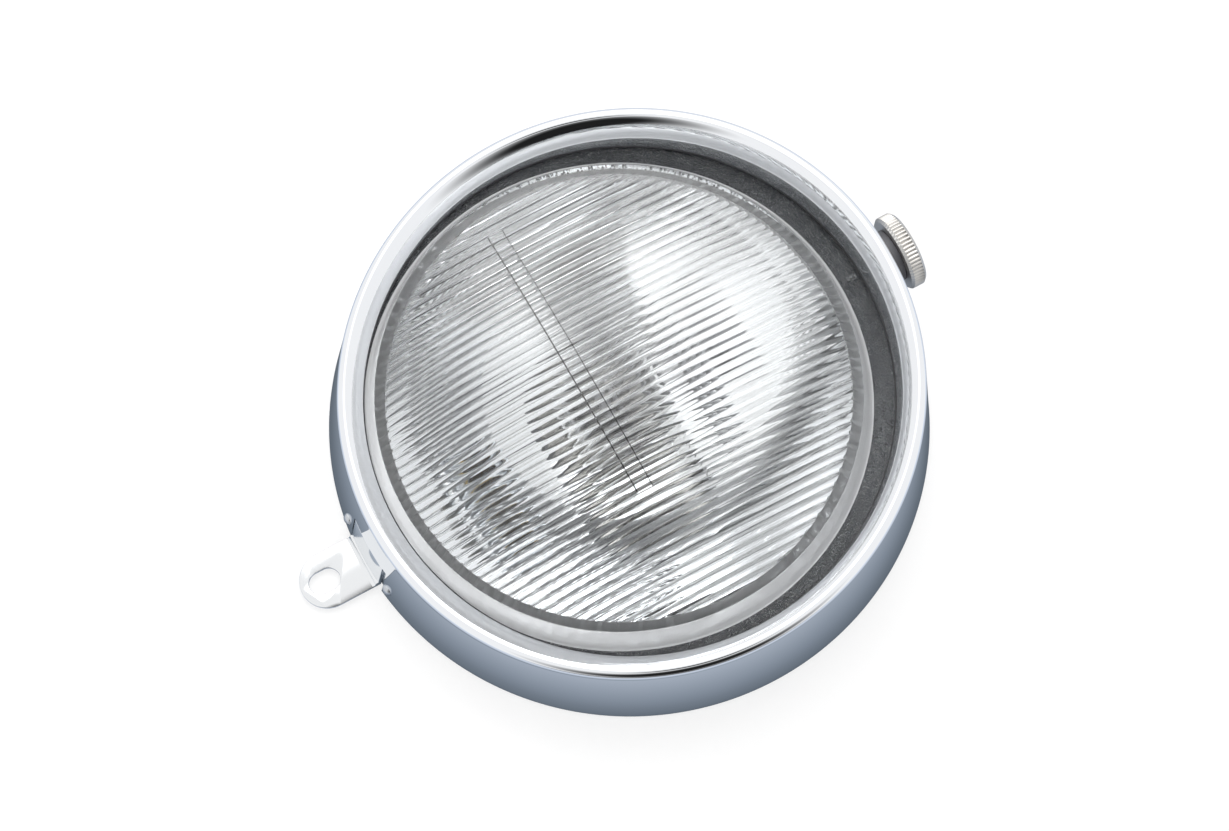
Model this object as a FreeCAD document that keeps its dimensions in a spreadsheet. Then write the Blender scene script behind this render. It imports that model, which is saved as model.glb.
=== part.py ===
import FreeCAD, Part
import math
import os
import re
import Sketcher
from FreeCAD import Placement, Rotation, Vector

# Round headlamp for a motorcycle or light car: a chrome trim ring that carries a pressed-glass lens, a
# reflector, a twin-filament bulb in a twist-lock holder and a small parking lamp.
# Every sub-part is drawn with x across, y up and z forward out of the lamp, and is then turned with the lamp
# so that +Z is up and the lens faces -Y. The origin is the centre of the ring's rear edge.
doc = FreeCAD.newDocument("headlamp")

SIZES = {
    # trim ring
    "seat_radius": (80, "outer radius of the ring at its rear edge"),
    "wall_taper": (4, "how much narrower the rolled bead is than the rear edge"),
    "front_height": (30, "height of the bead's centre above the rear edge"),
    "bead_tilt": (4.5, "degrees the bead leans down, so the wall is deeper at the top"),
    "bead_radius": (1.9, "radius of the rolled bead's section"),
    "sheet": (1.0, "thickness of the ring's sheet"),
    "throat_depth": (6.5, "from the bead's centre back to the inner wall's free edge"),
    "throat_draft": (3.2, "how much the inner wall closes in towards its free edge"),
    # lens
    "seal_thickness": (0.5, "front seal between the inner wall and the glass flange"),
    "seal_overlap": (0.2, "how far the front seal reaches in past the throat"),
    "seal_play": (0.6, "gap round the front seal"),
    "flange_thickness": (3.0, "glass flange"),
    "rim_clearance": (0.6, "between the flange's edge and the ring's wall"),
    "lens_drop": (3.2, "how far the lens axis lies below the ring's axis"),
    "skirt_radius": (65.5, "foot of the lens skirt"),
    "disc_radius": (62.8, "edge of the fluted disc"),
    "skirt_height": (8.0, "height of the skirt above the flange"),
    "dome_radius": (205, "radius of the lens dome"),
    "glass": (3.0, "thickness of the lens glass"),
    "nib_length": (3.0, "orientation mark on the flange"),
    "nib_width": (1.2, "width of the orientation mark"),
    "nib_height": (0.7, "height of the orientation mark"),
    "nib_reach": (66.5, "radius at which the orientation mark is centred"),
    # reflector
    "gasket_thickness": (1.5, "rubber gasket between glass flange and reflector rim"),
    "gasket_play": (0.3, "gap round the gasket"),
    "gasket_margin": (0.8, "gasket hole beyond the reflector's mouth"),
    "rim_play": (0.2, "gap round the reflector rim"),
    "rim_sheet": (1.0, "thickness of the reflector rim"),
    "bowl_sheet": (1.2, "thickness of the bowl along its axis"),
    "focal_length": (26, "focal length of the paraboloid"),
    "aperture_radius": (64, "mouth of the bowl"),
    # retaining clips
    "clip_count": (4, "clips round the rim"),
    "clip_width": (10, "width of a clip"),
    "clip_sheet": (0.8, "spring steel of a clip"),
    "clip_height": (5.5, "free height of a clip between lug and reflector rim"),
    "clip_reach": (69.5, "radius of the clip's bend"),
    "clip_depth": (4.0, "how far the clip's legs run outwards from its bend"),
    "lug_thickness": (1.5, "lug welded inside the ring"),
    "lug_width": (12, "width of a lug"),
    "lug_reach": (68.5, "inner edge of a lug"),
    "screw_radius": (1.5, "shank of a clip screw"),
    "screw_head_radius": (2.8, "head of a clip screw"),
    "screw_head_height": (1.8, "height of a clip screw's head"),
    "driver_slot": (0.8, "width and depth of a clip screw's slot"),
    # slotted tab
    "tab_width": (15, "width of the tab and diameter of its rounded end"),
    "tab_length": (18, "ear, from the ring's rear edge to its tip"),
    "leg_height": (13.4, "leg, up the ring's wall"),
    "slot_width": (6.3, "slot in the ear"),
    "slot_length": (8.6, "slot in the ear, end to end"),
    "slot_offset": (11.4, "middle of the slot from the ring's rear edge"),
    "window_gap": (0.4, "between the leg and the window on its near side"),
    "window_play": (1.3, "extra width of the window on its far side"),
    "bend_radius": (1.2, "inside radius of the bend"),
    "backplate_width": (30, "plate behind the window"),
    "backplate_height": (17, "height of that plate"),
    "rivet_spacing": (21.8, "between the two rivets beside the tab"),
    "rivet_height": (5.0, "height of the rivets above the rear edge"),
    "rivet_radius": (1.0, "rivet shank"),
    "rivet_head_radius": (1.8, "rivet head"),
    "rivet_grip": (2.6, "length of a tab rivet's shank"),
    "rivet_sink": (0.72, "height of a rivet dome's centre above the wall"),
    # thumb nut
    "nut_height": (24, "height of the stud's axis above the rear edge"),
    "stud_radius": (2.5, "M5 stud"),
    "stud_head_radius": (4.5, "flat head of the stud"),
    "thread_clearance": (0.05, "radial play between stud and nut"),
    "nut_radius": (10.35, "outer radius of the knurled nut"),
    "nut_thickness": (4.4, "thickness of the knurled head"),
    "nut_chamfer": (0.7, "chamfers of the knurled head"),
    "knurl_count": (60, "grooves of the knurl"),
    "knurl_depth": (0.35, "depth of a knurl groove"),
    "spigot_radius": (5.0, "spigot under the nut that carries the washer"),
    "spigot_height": (0.7, "height of the spigot"),
    "washer_radius": (7.2, "rubber washer"),
    "running_gap": (0.3, "between pieces that move past each other"),
    "fit_gap": (0.05, "running fit of round pieces"),
    "nut_standoff": (3.0, "underside of the knurled head above the bead's outer radius"),
    # bulb and its holder
    "light_centre": (29.5, "from the bulb's collar to its main filament"),
    "neck_radius": (18.5, "outer radius of the bulb neck"),
    "neck_flange_width": (4.5, "flange of the neck beyond its tube"),
    "neck_depth": (8.0, "length of the neck"),
    "thin_sheet": (1.0, "sheet of neck, collar and holder"),
    "collar_overlap": (2.0, "bulb collar beyond the neck tube"),
    "base_radius": (10, "bulb base"),
    "base_length": (12.6, "bulb base behind the collar"),
    "base_front": (3.0, "bulb base ahead of the collar"),
    "base_sheet": (0.5, "wall of the bulb base"),
    "stem_radius": (8.8, "narrow part of the bulb's glass"),
    "globe_radius": (14.5, "globe of the bulb"),
    "globe_lead": (0.5, "how far the globe's centre stands ahead of the focus"),
    "stem_drop": (19.575, "globe's centre to the top of the glass stem"),
    "bulb_glass_wall": (0.8, "wall of the bulb's glass"),
    "insulator_thickness": (1.5, "insulator at the end of the base"),
    "pad_radius": (1.8, "contact pad of the bulb"),
    "pad_height": (0.8, "height of a contact pad"),
    "pad_spacing": (9, "between the two contact pads"),
    "filament_radius": (0.7, "coil of a filament"),
    "filament_length": (5.5, "length of a filament"),
    "filament_step": (6.0, "from the main filament to the dipped one"),
    "wire_radius": (0.4, "support wires"),
    "shield_radius": (3.6, "cup under the dipped filament"),
    "shield_length": (8.0, "length of that cup"),
    "lug_angle": (18, "degrees covered by each locking lug of the holder"),
    "notch_angle": (26, "degrees covered by each notch of the neck flange"),
    "notch_play": (0.4, "gap between the neck tube and a notch"),
    "lug_play": (0.7, "gap between the neck tube and a locking lug"),
    "lock_angle": (30, "degrees that the holder turns to unlock"),
    "lock_count": (3, "locking lugs"),
    "plate_radius": (12.5, "contact plate"),
    "plate_thickness": (3.0, "contact plate"),
    "contact_height": (1.0, "contact rivets ahead of their plate"),
    "spring_room": (6.0, "from the contact plate to the holder's rear wall"),
    "spring_turns": (3, "turns of the contact spring"),
    "spring_wire": (0.5, "radius of the spring's wire"),
    "rear_opening": (9, "radius of the opening in the holder's rear wall"),
    "blade_width": (6.3, "terminal blade"),
    "blade_thickness": (0.8, "terminal blade"),
    "tag_foot_length": (8, "foot of the earth tag"),
    "tag_hole_place": (5, "earth tag's inner edge to its rivet"),
    "tag_rivet_height": (0.8, "head of the earth tag's rivet"),
    "blade_length": (14, "terminal blade behind its plate"),
    # parking lamp
    "pilot_offset": (38, "below the bulb's axis"),
    "pilot_sleeve_radius": (8, "sleeve fixed in the bowl"),
    "pilot_wall": (0.8, "wall of that sleeve"),
    "pilot_sleeve_front": (7, "sleeve ahead of the bowl's surface on its axis"),
    "pilot_sleeve_back": (8, "sleeve behind the bowl's surface on its axis"),
    "pilot_flange_radius": (9.5, "rear flange of the holder"),
    "pilot_flange": (1.8, "thickness of that flange"),
    "pilot_base_radius": (4.5, "base of the small bulb"),
    "pilot_base_length": (11, "base of the small bulb"),
    "pilot_glass_radius": (4.3, "glass of the small bulb"),
    "pilot_glass_length": (9, "glass of the small bulb"),
}

sheet = doc.addObject("Spreadsheet::Sheet", "Sizes")
for row, (alias, (value, note)) in enumerate(SIZES.items(), start=1):
    sheet.set(f"A{row}", alias)
    sheet.set(f"B{row}", str(value))
    sheet.setAlias(f"B{row}", alias)
    sheet.set(f"C{row}", note)
doc.recompute()

# Heights that several sub-parts share, as expressions of the sheet. Heights run forward from the rear edge.
FRONT_RADIUS = "(seat_radius - wall_taper)"
THROAT_RADIUS = f"({FRONT_RADIUS} - 2 * bead_radius)"
THROAT_HEIGHT = "(front_height - throat_depth)"
LENS_FRONT = f"({THROAT_HEIGHT} - seal_thickness)"
FLANGE_RADIUS = f"({FRONT_RADIUS} - sheet - rim_clearance)"
GASKET_FRONT = f"({LENS_FRONT} - flange_thickness)"
RIM_FRONT = f"({GASKET_FRONT} - gasket_thickness)"
RIM_BACK = f"({RIM_FRONT} - rim_sheet)"
LUG_FRONT = f"({RIM_BACK} - clip_height)"
LUG_BACK = f"({LUG_FRONT} - lug_thickness)"
VERTEX = f"({RIM_FRONT} - aperture_radius^2 / (4 * focal_length))"
FOCUS = f"({VERTEX} + focal_length)"
COLLAR_FRONT = f"({FOCUS} - light_centre)"
COLLAR_BACK = f"({COLLAR_FRONT} - thin_sheet)"
HOLDER_FRONT = f"({COLLAR_BACK} - running_gap)"
BASE_BACK = f"({COLLAR_BACK} - base_length)"
PAD_BACK = f"({BASE_BACK} - insulator_thickness - pad_height)"
PLATE_FRONT = f"({PAD_BACK} - running_gap - contact_height)"
PLATE_BACK = f"({PLATE_FRONT} - plate_thickness)"
HOLDER_BACK = f"({PLATE_BACK} - spring_room)"
TUBE_RADIUS = "(plate_radius + 2 * fit_gap)"
NUT_UNDERSIDE = f"({FRONT_RADIUS} + nut_standoff)"
WASHER_TOP = f"({NUT_UNDERSIDE} - 2 * fit_gap)"
PILOT_SURFACE = f"({VERTEX} + pilot_offset^2 / (4 * focal_length))"
PILOT_BACK = f"({PILOT_SURFACE} - pilot_sleeve_back)"
PILOT_SEAT = f"({PILOT_BACK} - running_gap)"
PILOT_BORE = "(pilot_sleeve_radius - pilot_wall)"
BULB_Y = "(-lens_drop)"
PILOT_Y = "(-lens_drop - pilot_offset)"

LAMP_ATTITUDE = Placement(Vector(0, 0, 0), Rotation(Vector(1, 0, 0), 90))
FACING_UP = Rotation(Vector(1, 0, 0), -90)
ACROSS = Rotation(Vector(0, 1, 0), 90)
sub_parts = {}


def bound(expression):
    """Write the aliases of an expression as cells of the sheet."""
    return re.sub(r"[a-z_]+", lambda word: f"Sizes.{word[0]}" if word[0] in SIZES else word[0], expression)


def value(expression):
    """The number that an expression of the sheet's aliases stands for."""
    return float(sheet.evalExpression(bound(expression)))


def bind(thing, **properties):
    for name, expression in properties.items():
        thing.setExpression(name, bound(expression))
    return thing


def place(thing, at=("0", "0", "0"), turned=None):
    if turned:
        thing.Placement = Placement(Vector(0, 0, 0), turned)
    for axis, expression in zip("xyz", at):
        thing.setExpression(f"Placement.Base.{axis}", bound(expression))
    return thing


def cylinder(name, radius, height, at=("0", "0", "0"), turned=None):
    return place(bind(doc.addObject("Part::Cylinder", name), Radius=radius, Height=height), at, turned)


def box(name, across, up, forward, at=("0", "0", "0"), turned=None):
    """A block whose smallest corner is at the place given."""
    block = doc.addObject("Part::Box", name)
    return place(bind(block, Length=across, Width=up, Height=forward), at, turned)


def sphere(name, radius, at):
    return place(bind(doc.addObject("Part::Sphere", name), Radius=radius), at)


def cut(name, base, tool):
    result = doc.addObject("Part::Cut", name)
    result.Base, result.Tool = base, tool
    return result


def fuse(name, *pieces):
    result = doc.addObject("Part::MultiFuse", name)
    result.Shapes = list(pieces)
    return result


def common(name, *pieces):
    result = doc.addObject("Part::MultiCommon", name)
    result.Shapes = list(pieces)
    return result


def group(name, *pieces):
    result = doc.addObject("Part::Compound", name)
    result.Links = list(pieces)
    return result


def tube(name, outer, inner, height, at=("0", "0", "0")):
    """A plain tube or ring standing forward from the place given."""
    return cut(name, cylinder(name + "_outside", outer, height, at), cylinder(name + "_bore", inner, height, at))


def finish(node, piece):
    """Name a sub-part after its node and turn it into the lamp's attitude.

    A plain primitive keeps its own place, so it is turned inside a group.
    """
    if piece.TypeId in ("Part::Cylinder", "Part::Box"):
        piece = group(node + "_group", piece)
    piece.Label = node
    piece.Placement = LAMP_ATTITUDE
    sub_parts[node] = piece


def loft(name, back_radius, back_height, front_radius, lean="bead_tilt"):
    """A solid between a level circle and the leaning circle of the bead."""
    back = place(bind(doc.addObject("Part::Circle", name + "_back"), Radius=back_radius), ("0", "0", back_height))
    front = bind(doc.addObject("Part::Circle", name + "_front"), Radius=front_radius)
    place(front, ("0", "0", "front_height"), Rotation(Vector(1, 0, 0), 1))
    front.setExpression("Placement.Rotation.Angle", bound(lean))
    result = doc.addObject("Part::Loft", name)
    result.Sections = [back, front]
    result.Solid = True
    result.Ruled = True
    return result


def lean_with_bead(thing):
    """Turn a thing that is already placed about the x axis, as far as the bead leans."""
    thing.Placement.Rotation = Rotation(Vector(1, 0, 0), 1)
    thing.setExpression("Placement.Rotation.Angle", bound("bead_tilt"))
    return thing


def plane_of(body, role):
    return next(item for item in body.Origin.OriginFeatures if item.Role == role)


def outline(body, name, role, corners):
    """A closed sketch through corners of two expressions each.

    A corner with a third expression is reached by an arc of that radius, which bulges to the left of the way
    from the corner before it when the radius is positive and to the right when it is negative.
    """
    drawing = body.newObject("Sketcher::SketchObject", name)
    drawing.AttachmentSupport = (plane_of(body, role), [""])
    drawing.MapMode = "FlatFace"
    points = [Vector(value(corner[0]), value(corner[1]), 0) for corner in corners]
    for index, point in enumerate(points):
        before = points[index - 1]
        if len(corners[index]) == 3:
            radius = value(corners[index][2])
            chord = point - before
            left = Vector(-chord.y, chord.x, 0).normalize() * (1 if radius > 0 else -1)
            rise = abs(radius) - math.sqrt(radius**2 - chord.Length**2 / 4)
            arc = Part.Arc(before, before + chord / 2 + left * rise, point)
            drawing.addGeometry(arc, False)
        else:
            drawing.addGeometry(Part.LineSegment(before, point), False)
    for index, corner in enumerate(corners):
        clockwise = len(corner) == 3 and value(corner[2]) > 0
        end = 1 if clockwise else 2
        for kind, expression in (("DistanceX", corner[0]), ("DistanceY", corner[1])):
            number = drawing.addConstraint(Sketcher.Constraint(kind, -1, 1, index, end, value(expression)))
            drawing.setExpression(f"Constraints[{number}]", bound(expression))
        following = (index + 1) % len(corners)
        next_corner = corners[following]
        start = 2 if len(next_corner) == 3 and value(next_corner[2]) > 0 else 1
        drawing.addConstraint(Sketcher.Constraint("Coincident", index, end, following, start))
        if len(corner) == 3:
            size = f"abs({corner[2]})"
            number = drawing.addConstraint(Sketcher.Constraint("Radius", index, value(size)))
            drawing.setExpression(f"Constraints[{number}]", bound(size))
    return drawing


def ring_outline(body, name, role, circles):
    """A sketch of circles, each given by its centre and radius."""
    drawing = body.newObject("Sketcher::SketchObject", name)
    drawing.AttachmentSupport = (plane_of(body, role), [""])
    drawing.MapMode = "FlatFace"
    for index, (x, y, radius) in enumerate(circles):
        centre = Vector(value(x), value(y), 0)
        drawing.addGeometry(Part.Circle(centre, Vector(0, 0, 1), value(radius)), False)
        for kind, expression in (("DistanceX", x), ("DistanceY", y)):
            number = drawing.addConstraint(Sketcher.Constraint(kind, -1, 1, index, 3, value(expression)))
            drawing.setExpression(f"Constraints[{number}]", bound(expression))
        number = drawing.addConstraint(Sketcher.Constraint("Radius", index, value(radius)))
        drawing.setExpression(f"Constraints[{number}]", bound(radius))
    return drawing


def feature(body, kind, name, drawing):
    result = body.newObject("PartDesign::" + kind, name)
    result.Profile = drawing
    drawing.Visibility = False
    return result


def pad(body, name, drawing, length, start):
    """Pad a sketch of the XY plane forward from a height."""
    drawing.setExpression("AttachmentOffset.Base.z", bound(start))
    return bind(feature(body, "Pad", name, drawing), Length=length)


def revolve(body, name, drawing):
    """Turn a sketch of the XZ plane about the lamp's own forward axis."""
    result = feature(body, "Revolution", name, drawing)
    result.ReferenceAxis = (plane_of(body, "Z_Axis"), [""])
    result.Angle = 360
    return result


def turned_body(name, corners):
    """A body of revolution about its own z axis, from corners of radius and height."""
    body = doc.addObject("PartDesign::Body", name)
    revolve(body, name + "_turning", outline(body, name + "_section", "XZ_Plane", corners))
    return body


def make_ring_wall():
    """The outer wall, the inner wall and the rolled bead, as one sheet."""
    outer = loft("wall_outside", "seat_radius", "0", FRONT_RADIUS)
    inner = loft("wall_inside", "seat_radius - sheet", "0", f"{FRONT_RADIUS} - sheet")
    wall = cut("wall", outer, inner)
    edge = f"{THROAT_RADIUS} - throat_draft"
    throat_back = loft("throat_outside", f"{edge} + sheet", THROAT_HEIGHT, f"{THROAT_RADIUS} + sheet")
    throat_face = loft("throat_inside", edge, THROAT_HEIGHT, THROAT_RADIUS)
    throat = cut("throat", throat_back, throat_face)
    tori = []
    for name, section in (("bead_outside", "bead_radius"), ("bead_inside", "bead_radius - sheet")):
        torus = bind(doc.addObject("Part::Torus", name), Radius1=f"{FRONT_RADIUS} - bead_radius", Radius2=section)
        tori.append(lean_with_bead(place(torus, ("0", "0", "front_height"))))
    reach, depth = f"(2 * {FRONT_RADIUS})", "(4 * bead_radius)"
    behind = box(
        "behind_bead", f"2 * {reach}", f"2 * {reach}", depth,
        (
            f"-{reach}",
            f"-{reach} * cos(bead_tilt) + {depth} * sin(bead_tilt)",
            f"front_height - {reach} * sin(bead_tilt) - {depth} * cos(bead_tilt)",
        ),
    )
    lean_with_bead(behind)
    bead = cut("bead", cut("bead_tube", *tori), behind)
    return fuse("ring_sheet", wall, throat, bead), outer, inner


def radial_rod(name, radius, height, x, tip, length):
    """A rod along the vertical, hanging from a height above the axis."""
    return cylinder(name, radius, length, (x, f"{tip} - ({length})", height), FACING_UP)


def make_ring_and_tab():
    """The ring with its holes and window, and the slotted tab that fills the window."""
    sheet_ring, outer, inner = make_ring_wall()
    low = "(-seat_radius - 1)"
    window = box(
        "window", "tab_width + 2 * window_gap + window_play", "seat_radius / 3", "leg_height + window_gap + 1",
        ("-tab_width / 2 - window_gap", low, "-1"),
    )
    stud_hole = radial_rod("stud_hole", "stud_radius + fit_gap", "nut_height", "0", "seat_radius", "8")
    rivet_holes = [
        radial_rod(f"ring_rivet_hole_{side}", "rivet_radius", "rivet_height", f"{side} * rivet_spacing / 2",
                   f"{low} + seat_radius / 8", "seat_radius / 8")
        for side in (-1, 1)
    ]
    openings = fuse("ring_openings", window, stud_hole, *rivet_holes)
    finish("trim_ring", cut("trim_ring", sheet_ring, openings))

    leg_block = box("leg_block", "tab_width", "seat_radius / 3", "leg_height", ("-tab_width / 2", low, "0"))
    leg = common("leg", leg_block, cut("leg_wall", outer, inner))
    end = "(-seat_radius - tab_length + tab_width / 2)"
    ear_plate = box("ear_plate", "tab_width", f"-{end} - seat_radius + 2 * sheet", "sheet",
                    ("-tab_width / 2", end, "0"))
    ear_end = cylinder("ear_end", "tab_width / 2", "sheet", ("0", end, "0"))
    bend_block = box("bend_block", "tab_width", "bend_radius + 2 * sheet", "bend_radius + sheet",
                     ("-tab_width / 2", "-seat_radius - bend_radius", "0"))
    bend_hollow = cylinder("bend_hollow", "bend_radius", "tab_width + 2",
                           ("-tab_width / 2 - 1", "-seat_radius - bend_radius", "sheet + bend_radius"), ACROSS)
    bend = cut("bend", bend_block, bend_hollow)
    blank = cut("tab_blank", fuse("tab_sheet", ear_plate, ear_end, bend),
                loft("tab_clearance", "seat_radius - sheet", "0", f"{FRONT_RADIUS} - sheet"))
    half = "(slot_length / 2 - slot_width / 2)"
    middle = "(-seat_radius - slot_offset)"
    slot = fuse(
        "slot",
        box("slot_middle", "slot_width", f"2 * {half}", "sheet + 2", ("-slot_width / 2", f"{middle} - {half}", "-1")),
        cylinder("slot_low", "slot_width / 2", "sheet + 2", ("0", f"{middle} - {half}", "-1")),
        cylinder("slot_high", "slot_width / 2", "sheet + 2", ("0", f"{middle} + {half}", "-1")),
    )
    finish("mounting_tab", cut("mounting_tab", fuse("tab_whole", blank, leg), slot))

    plate_block = box("backplate_block", "backplate_width", "seat_radius / 3", "backplate_height - sheet",
                      ("-backplate_width / 2", low, "sheet"))
    plate_skin = cut(
        "backplate_skin",
        loft("backplate_outside", "seat_radius - sheet", "0", f"{FRONT_RADIUS} - sheet"),
        loft("backplate_inside", "seat_radius - 2 * sheet", "0", f"{FRONT_RADIUS} - 2 * sheet"),
    )
    finish("tab_backplate", cut("tab_backplate", common("backplate", plate_block, plate_skin),
                                fuse("backplate_holes", *[
                                    radial_rod(f"backplate_hole_{side}", "rivet_radius", "rivet_height",
                                               f"{side} * rivet_spacing / 2", f"{low} + seat_radius / 8",
                                               "seat_radius / 8")
                                    for side in (-1, 1)])))

    # Each rivet's shank runs through ring and plate, and its head is a dome that stands on the ring's wall.
    surface = f"(-sqrt(seat_radius^2 - rivet_spacing^2 / 4) + rivet_height * (seat_radius - {FRONT_RADIUS})" \
              f" / (front_height - {FRONT_RADIUS} * sin(bead_tilt)))"
    rivets = []
    for side in (-1, 1):
        x = f"{side} * rivet_spacing / 2"
        shank = radial_rod(f"rivet_shank_{side}", "rivet_radius", "rivet_height", x,
                           f"{surface} + rivet_grip", "rivet_grip")
        dome = sphere(f"rivet_dome_{side}", "rivet_head_radius", (x, f"{surface} + rivet_sink", "rivet_height"))
        head = cut(f"rivet_head_{side}", dome, loft(f"rivet_wall_{side}", "seat_radius", "0", FRONT_RADIUS))
        rivets.append(fuse(f"rivet_{side}", shank, head))
    finish("tab_rivets", group("tab_rivets", *rivets))


def make_lens():
    """Domed glass on a skirt, with a flange that is centred on the ring and a small orientation mark."""
    body = doc.addObject("PartDesign::Body", "lens")
    edge = f"({LENS_FRONT} + skirt_height)"
    centre = f"({edge} - sqrt(dome_radius^2 - disc_radius^2))"
    inner_radius = "(dome_radius - glass)"
    inner_edge = f"({centre} + sqrt({inner_radius}^2 - (disc_radius - glass)^2))"
    drawing = outline(body, "lens_section", "XZ_Plane", [
        ("skirt_radius - glass", GASKET_FRONT),
        ("skirt_radius", GASKET_FRONT),
        ("skirt_radius", LENS_FRONT),
        ("disc_radius", edge),
        ("0", f"{centre} + dome_radius", "-dome_radius"),
        ("0", f"{centre} + {inner_radius}"),
        ("disc_radius - glass", inner_edge, inner_radius),
    ])
    revolve(body, "lens_turning", drawing)
    flange = ring_outline(body, "flange_outline", "XY_Plane", [
        ("0", "lens_drop", FLANGE_RADIUS), ("0", "0", "skirt_radius - glass / 2")])
    pad(body, "flange", flange, "flange_thickness", GASKET_FRONT)
    low = "(nib_reach - nib_length / 2 + lens_drop)"
    high = "(nib_reach + nib_length / 2 + lens_drop)"
    nib = outline(body, "nib_outline", "XY_Plane", [
        ("-nib_width / 2", low), ("nib_width / 2", low), ("nib_width / 2", high), ("-nib_width / 2", high)])
    pad(body, "nib", nib, "nib_height + 0.5", f"{LENS_FRONT} - 0.5")
    finish("lens", body)
    lower(body)


def lower(piece):
    """Move a finished sub-part down to the bulb's axis."""
    piece.setExpression("Placement.Base.z", bound(BULB_Y))


def make_seals():
    seal_inner = f"{THROAT_RADIUS} - throat_draft - seal_overlap"
    finish("front_seal", tube("front_seal", f"{FLANGE_RADIUS} - seal_play", seal_inner, "seal_thickness",
                              ("0", "0", LENS_FRONT)))
    outside = cylinder("gasket_outside", f"{FLANGE_RADIUS} - gasket_play", "gasket_thickness", ("0", "0", RIM_FRONT))
    inside = cylinder("gasket_inside", "aperture_radius + gasket_margin", "gasket_thickness",
                      ("0", BULB_Y, RIM_FRONT))
    finish("lens_gasket", cut("lens_gasket", outside, inside))


def paraboloid(vertex_height, mouth_height):
    """A solid paraboloid about the z axis, filled up to its mouth.

    A quadratic Bezier curve whose middle pole lies below the middle of the radius is exactly a parabola.
    """
    radius = math.sqrt(4 * value("focal_length") * (mouth_height - vertex_height))
    vertex, mouth = Vector(0, 0, vertex_height), Vector(radius, 0, mouth_height)
    curve = Part.BezierCurve()
    curve.setPoles([vertex, Vector(radius / 2, 0, vertex_height), mouth])
    side = curve.toShape()
    centre = Vector(0, 0, mouth_height)
    wire = Part.Wire([side, Part.makeLine(mouth, centre), Part.makeLine(centre, vertex)])
    return Part.Face(wire).revolve(Vector(0, 0, 0), Vector(0, 0, 1), 360)


def make_reflector():
    """A paraboloid bowl with a flat rim, a hole for the bulb's neck and one for the parking lamp."""
    front, back, vertex = value(RIM_FRONT), value(RIM_BACK), value(VERTEX)
    drop, thickness = value("lens_drop"), value("bowl_sheet")
    bowl = paraboloid(vertex - thickness, front)
    hollow = paraboloid(vertex, front)
    rim = Part.makeCylinder(value(f"{FLANGE_RADIUS} - rim_play"), front - back, Vector(0, drop, back))
    depth = 2 * value("focal_length")
    neck_hole = Part.makeCylinder(value("neck_radius + fit_gap"), depth, Vector(0, 0, vertex - depth / 2))
    pilot_hole = Part.makeCylinder(value("pilot_sleeve_radius + fit_gap"), depth,
                                   Vector(0, -value("pilot_offset"), value(PILOT_SURFACE) - depth / 2))
    shape = bowl.fuse(rim).cut(hollow.fuse([neck_hole, pilot_hole])).removeSplitter()
    piece = doc.addObject("Part::Feature", "reflector")
    piece.Shape = shape
    finish("reflector", piece)
    piece.Placement.Base.z = -drop


def around_ring(index):
    """Angle of a clip: they sit between the thumb nut, the tab and the two sides."""
    return 360 / int(value("clip_count")) * (index + 0.5)


def make_clips():
    """Spring clips that press the reflector forward, each on a lug inside the ring and held by a screw."""
    lugs, clips, screws = [], [], []
    bend, tip = "clip_reach", "(clip_reach + clip_depth)"
    hole_reach = "(clip_reach + clip_depth * 0.6)"
    for index in range(int(value("clip_count"))):
        turn = Rotation(Vector(0, 0, 1), around_ring(index))
        lug_block = box(f"lug_block_{index}", "seat_radius - lug_reach", "lug_width", "lug_thickness",
                        ("lug_reach", "-lug_width / 2", LUG_BACK))
        lug_hole = cylinder(f"lug_hole_{index}", "screw_radius", "lug_thickness + 2",
                            (hole_reach, "0", f"{LUG_BACK} - 1"))
        lug = group(f"lug_turned_{index}", cut(f"lug_cut_{index}", lug_block, lug_hole))
        lug.Placement = Placement(Vector(0, 0, 0), turn)
        wall = loft(f"lug_wall_{index}", "seat_radius - sheet", "0", f"{FRONT_RADIUS} - sheet")
        lugs.append(common(f"lug_{index}", lug, wall))

        legs = [
            box(f"clip_foot_{index}", f"{tip} - {bend}", "clip_width", "clip_sheet",
                (bend, "-clip_width / 2", LUG_FRONT)),
            box(f"clip_bend_{index}", "clip_sheet", "clip_width", "clip_height",
                (bend, "-clip_width / 2", LUG_FRONT)),
            box(f"clip_head_{index}", f"{tip} - {bend}", "clip_width", "clip_sheet",
                (bend, "-clip_width / 2", f"{RIM_BACK} - clip_sheet")),
        ]
        clip_hole = cylinder(f"clip_hole_{index}", "screw_radius", "clip_sheet + 2",
                             (hole_reach, "0", f"{LUG_FRONT} - 1"))
        clip = cut(f"clip_{index}", fuse(f"clip_legs_{index}", *legs), clip_hole)
        clip.Placement = Placement(Vector(0, 0, 0), turn)
        clips.append(clip)

        shank = cylinder(f"screw_shank_{index}", "screw_radius", "lug_thickness + clip_sheet + 1",
                         (hole_reach, "0", LUG_BACK))
        head = cylinder(f"screw_head_{index}", "screw_head_radius", "screw_head_height",
                        (hole_reach, "0", f"{LUG_BACK} - screw_head_height"))
        driver = box(f"screw_slot_{index}", "2 * screw_head_radius + 1", "driver_slot", "driver_slot",
                     (f"{hole_reach} - screw_head_radius - 0.5", "-driver_slot / 2",
                      f"{LUG_BACK} - screw_head_height - 0.01"))
        screw = cut(f"screw_{index}", fuse(f"screw_whole_{index}", shank, head), driver)
        screw.Placement = Placement(Vector(0, 0, 0), turn)
        screws.append(screw)
    finish("clip_lugs", group("clip_lugs", *lugs))
    finish("retaining_clips", group("retaining_clips", *clips))
    finish("clip_screws", group("clip_screws", *screws))


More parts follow.
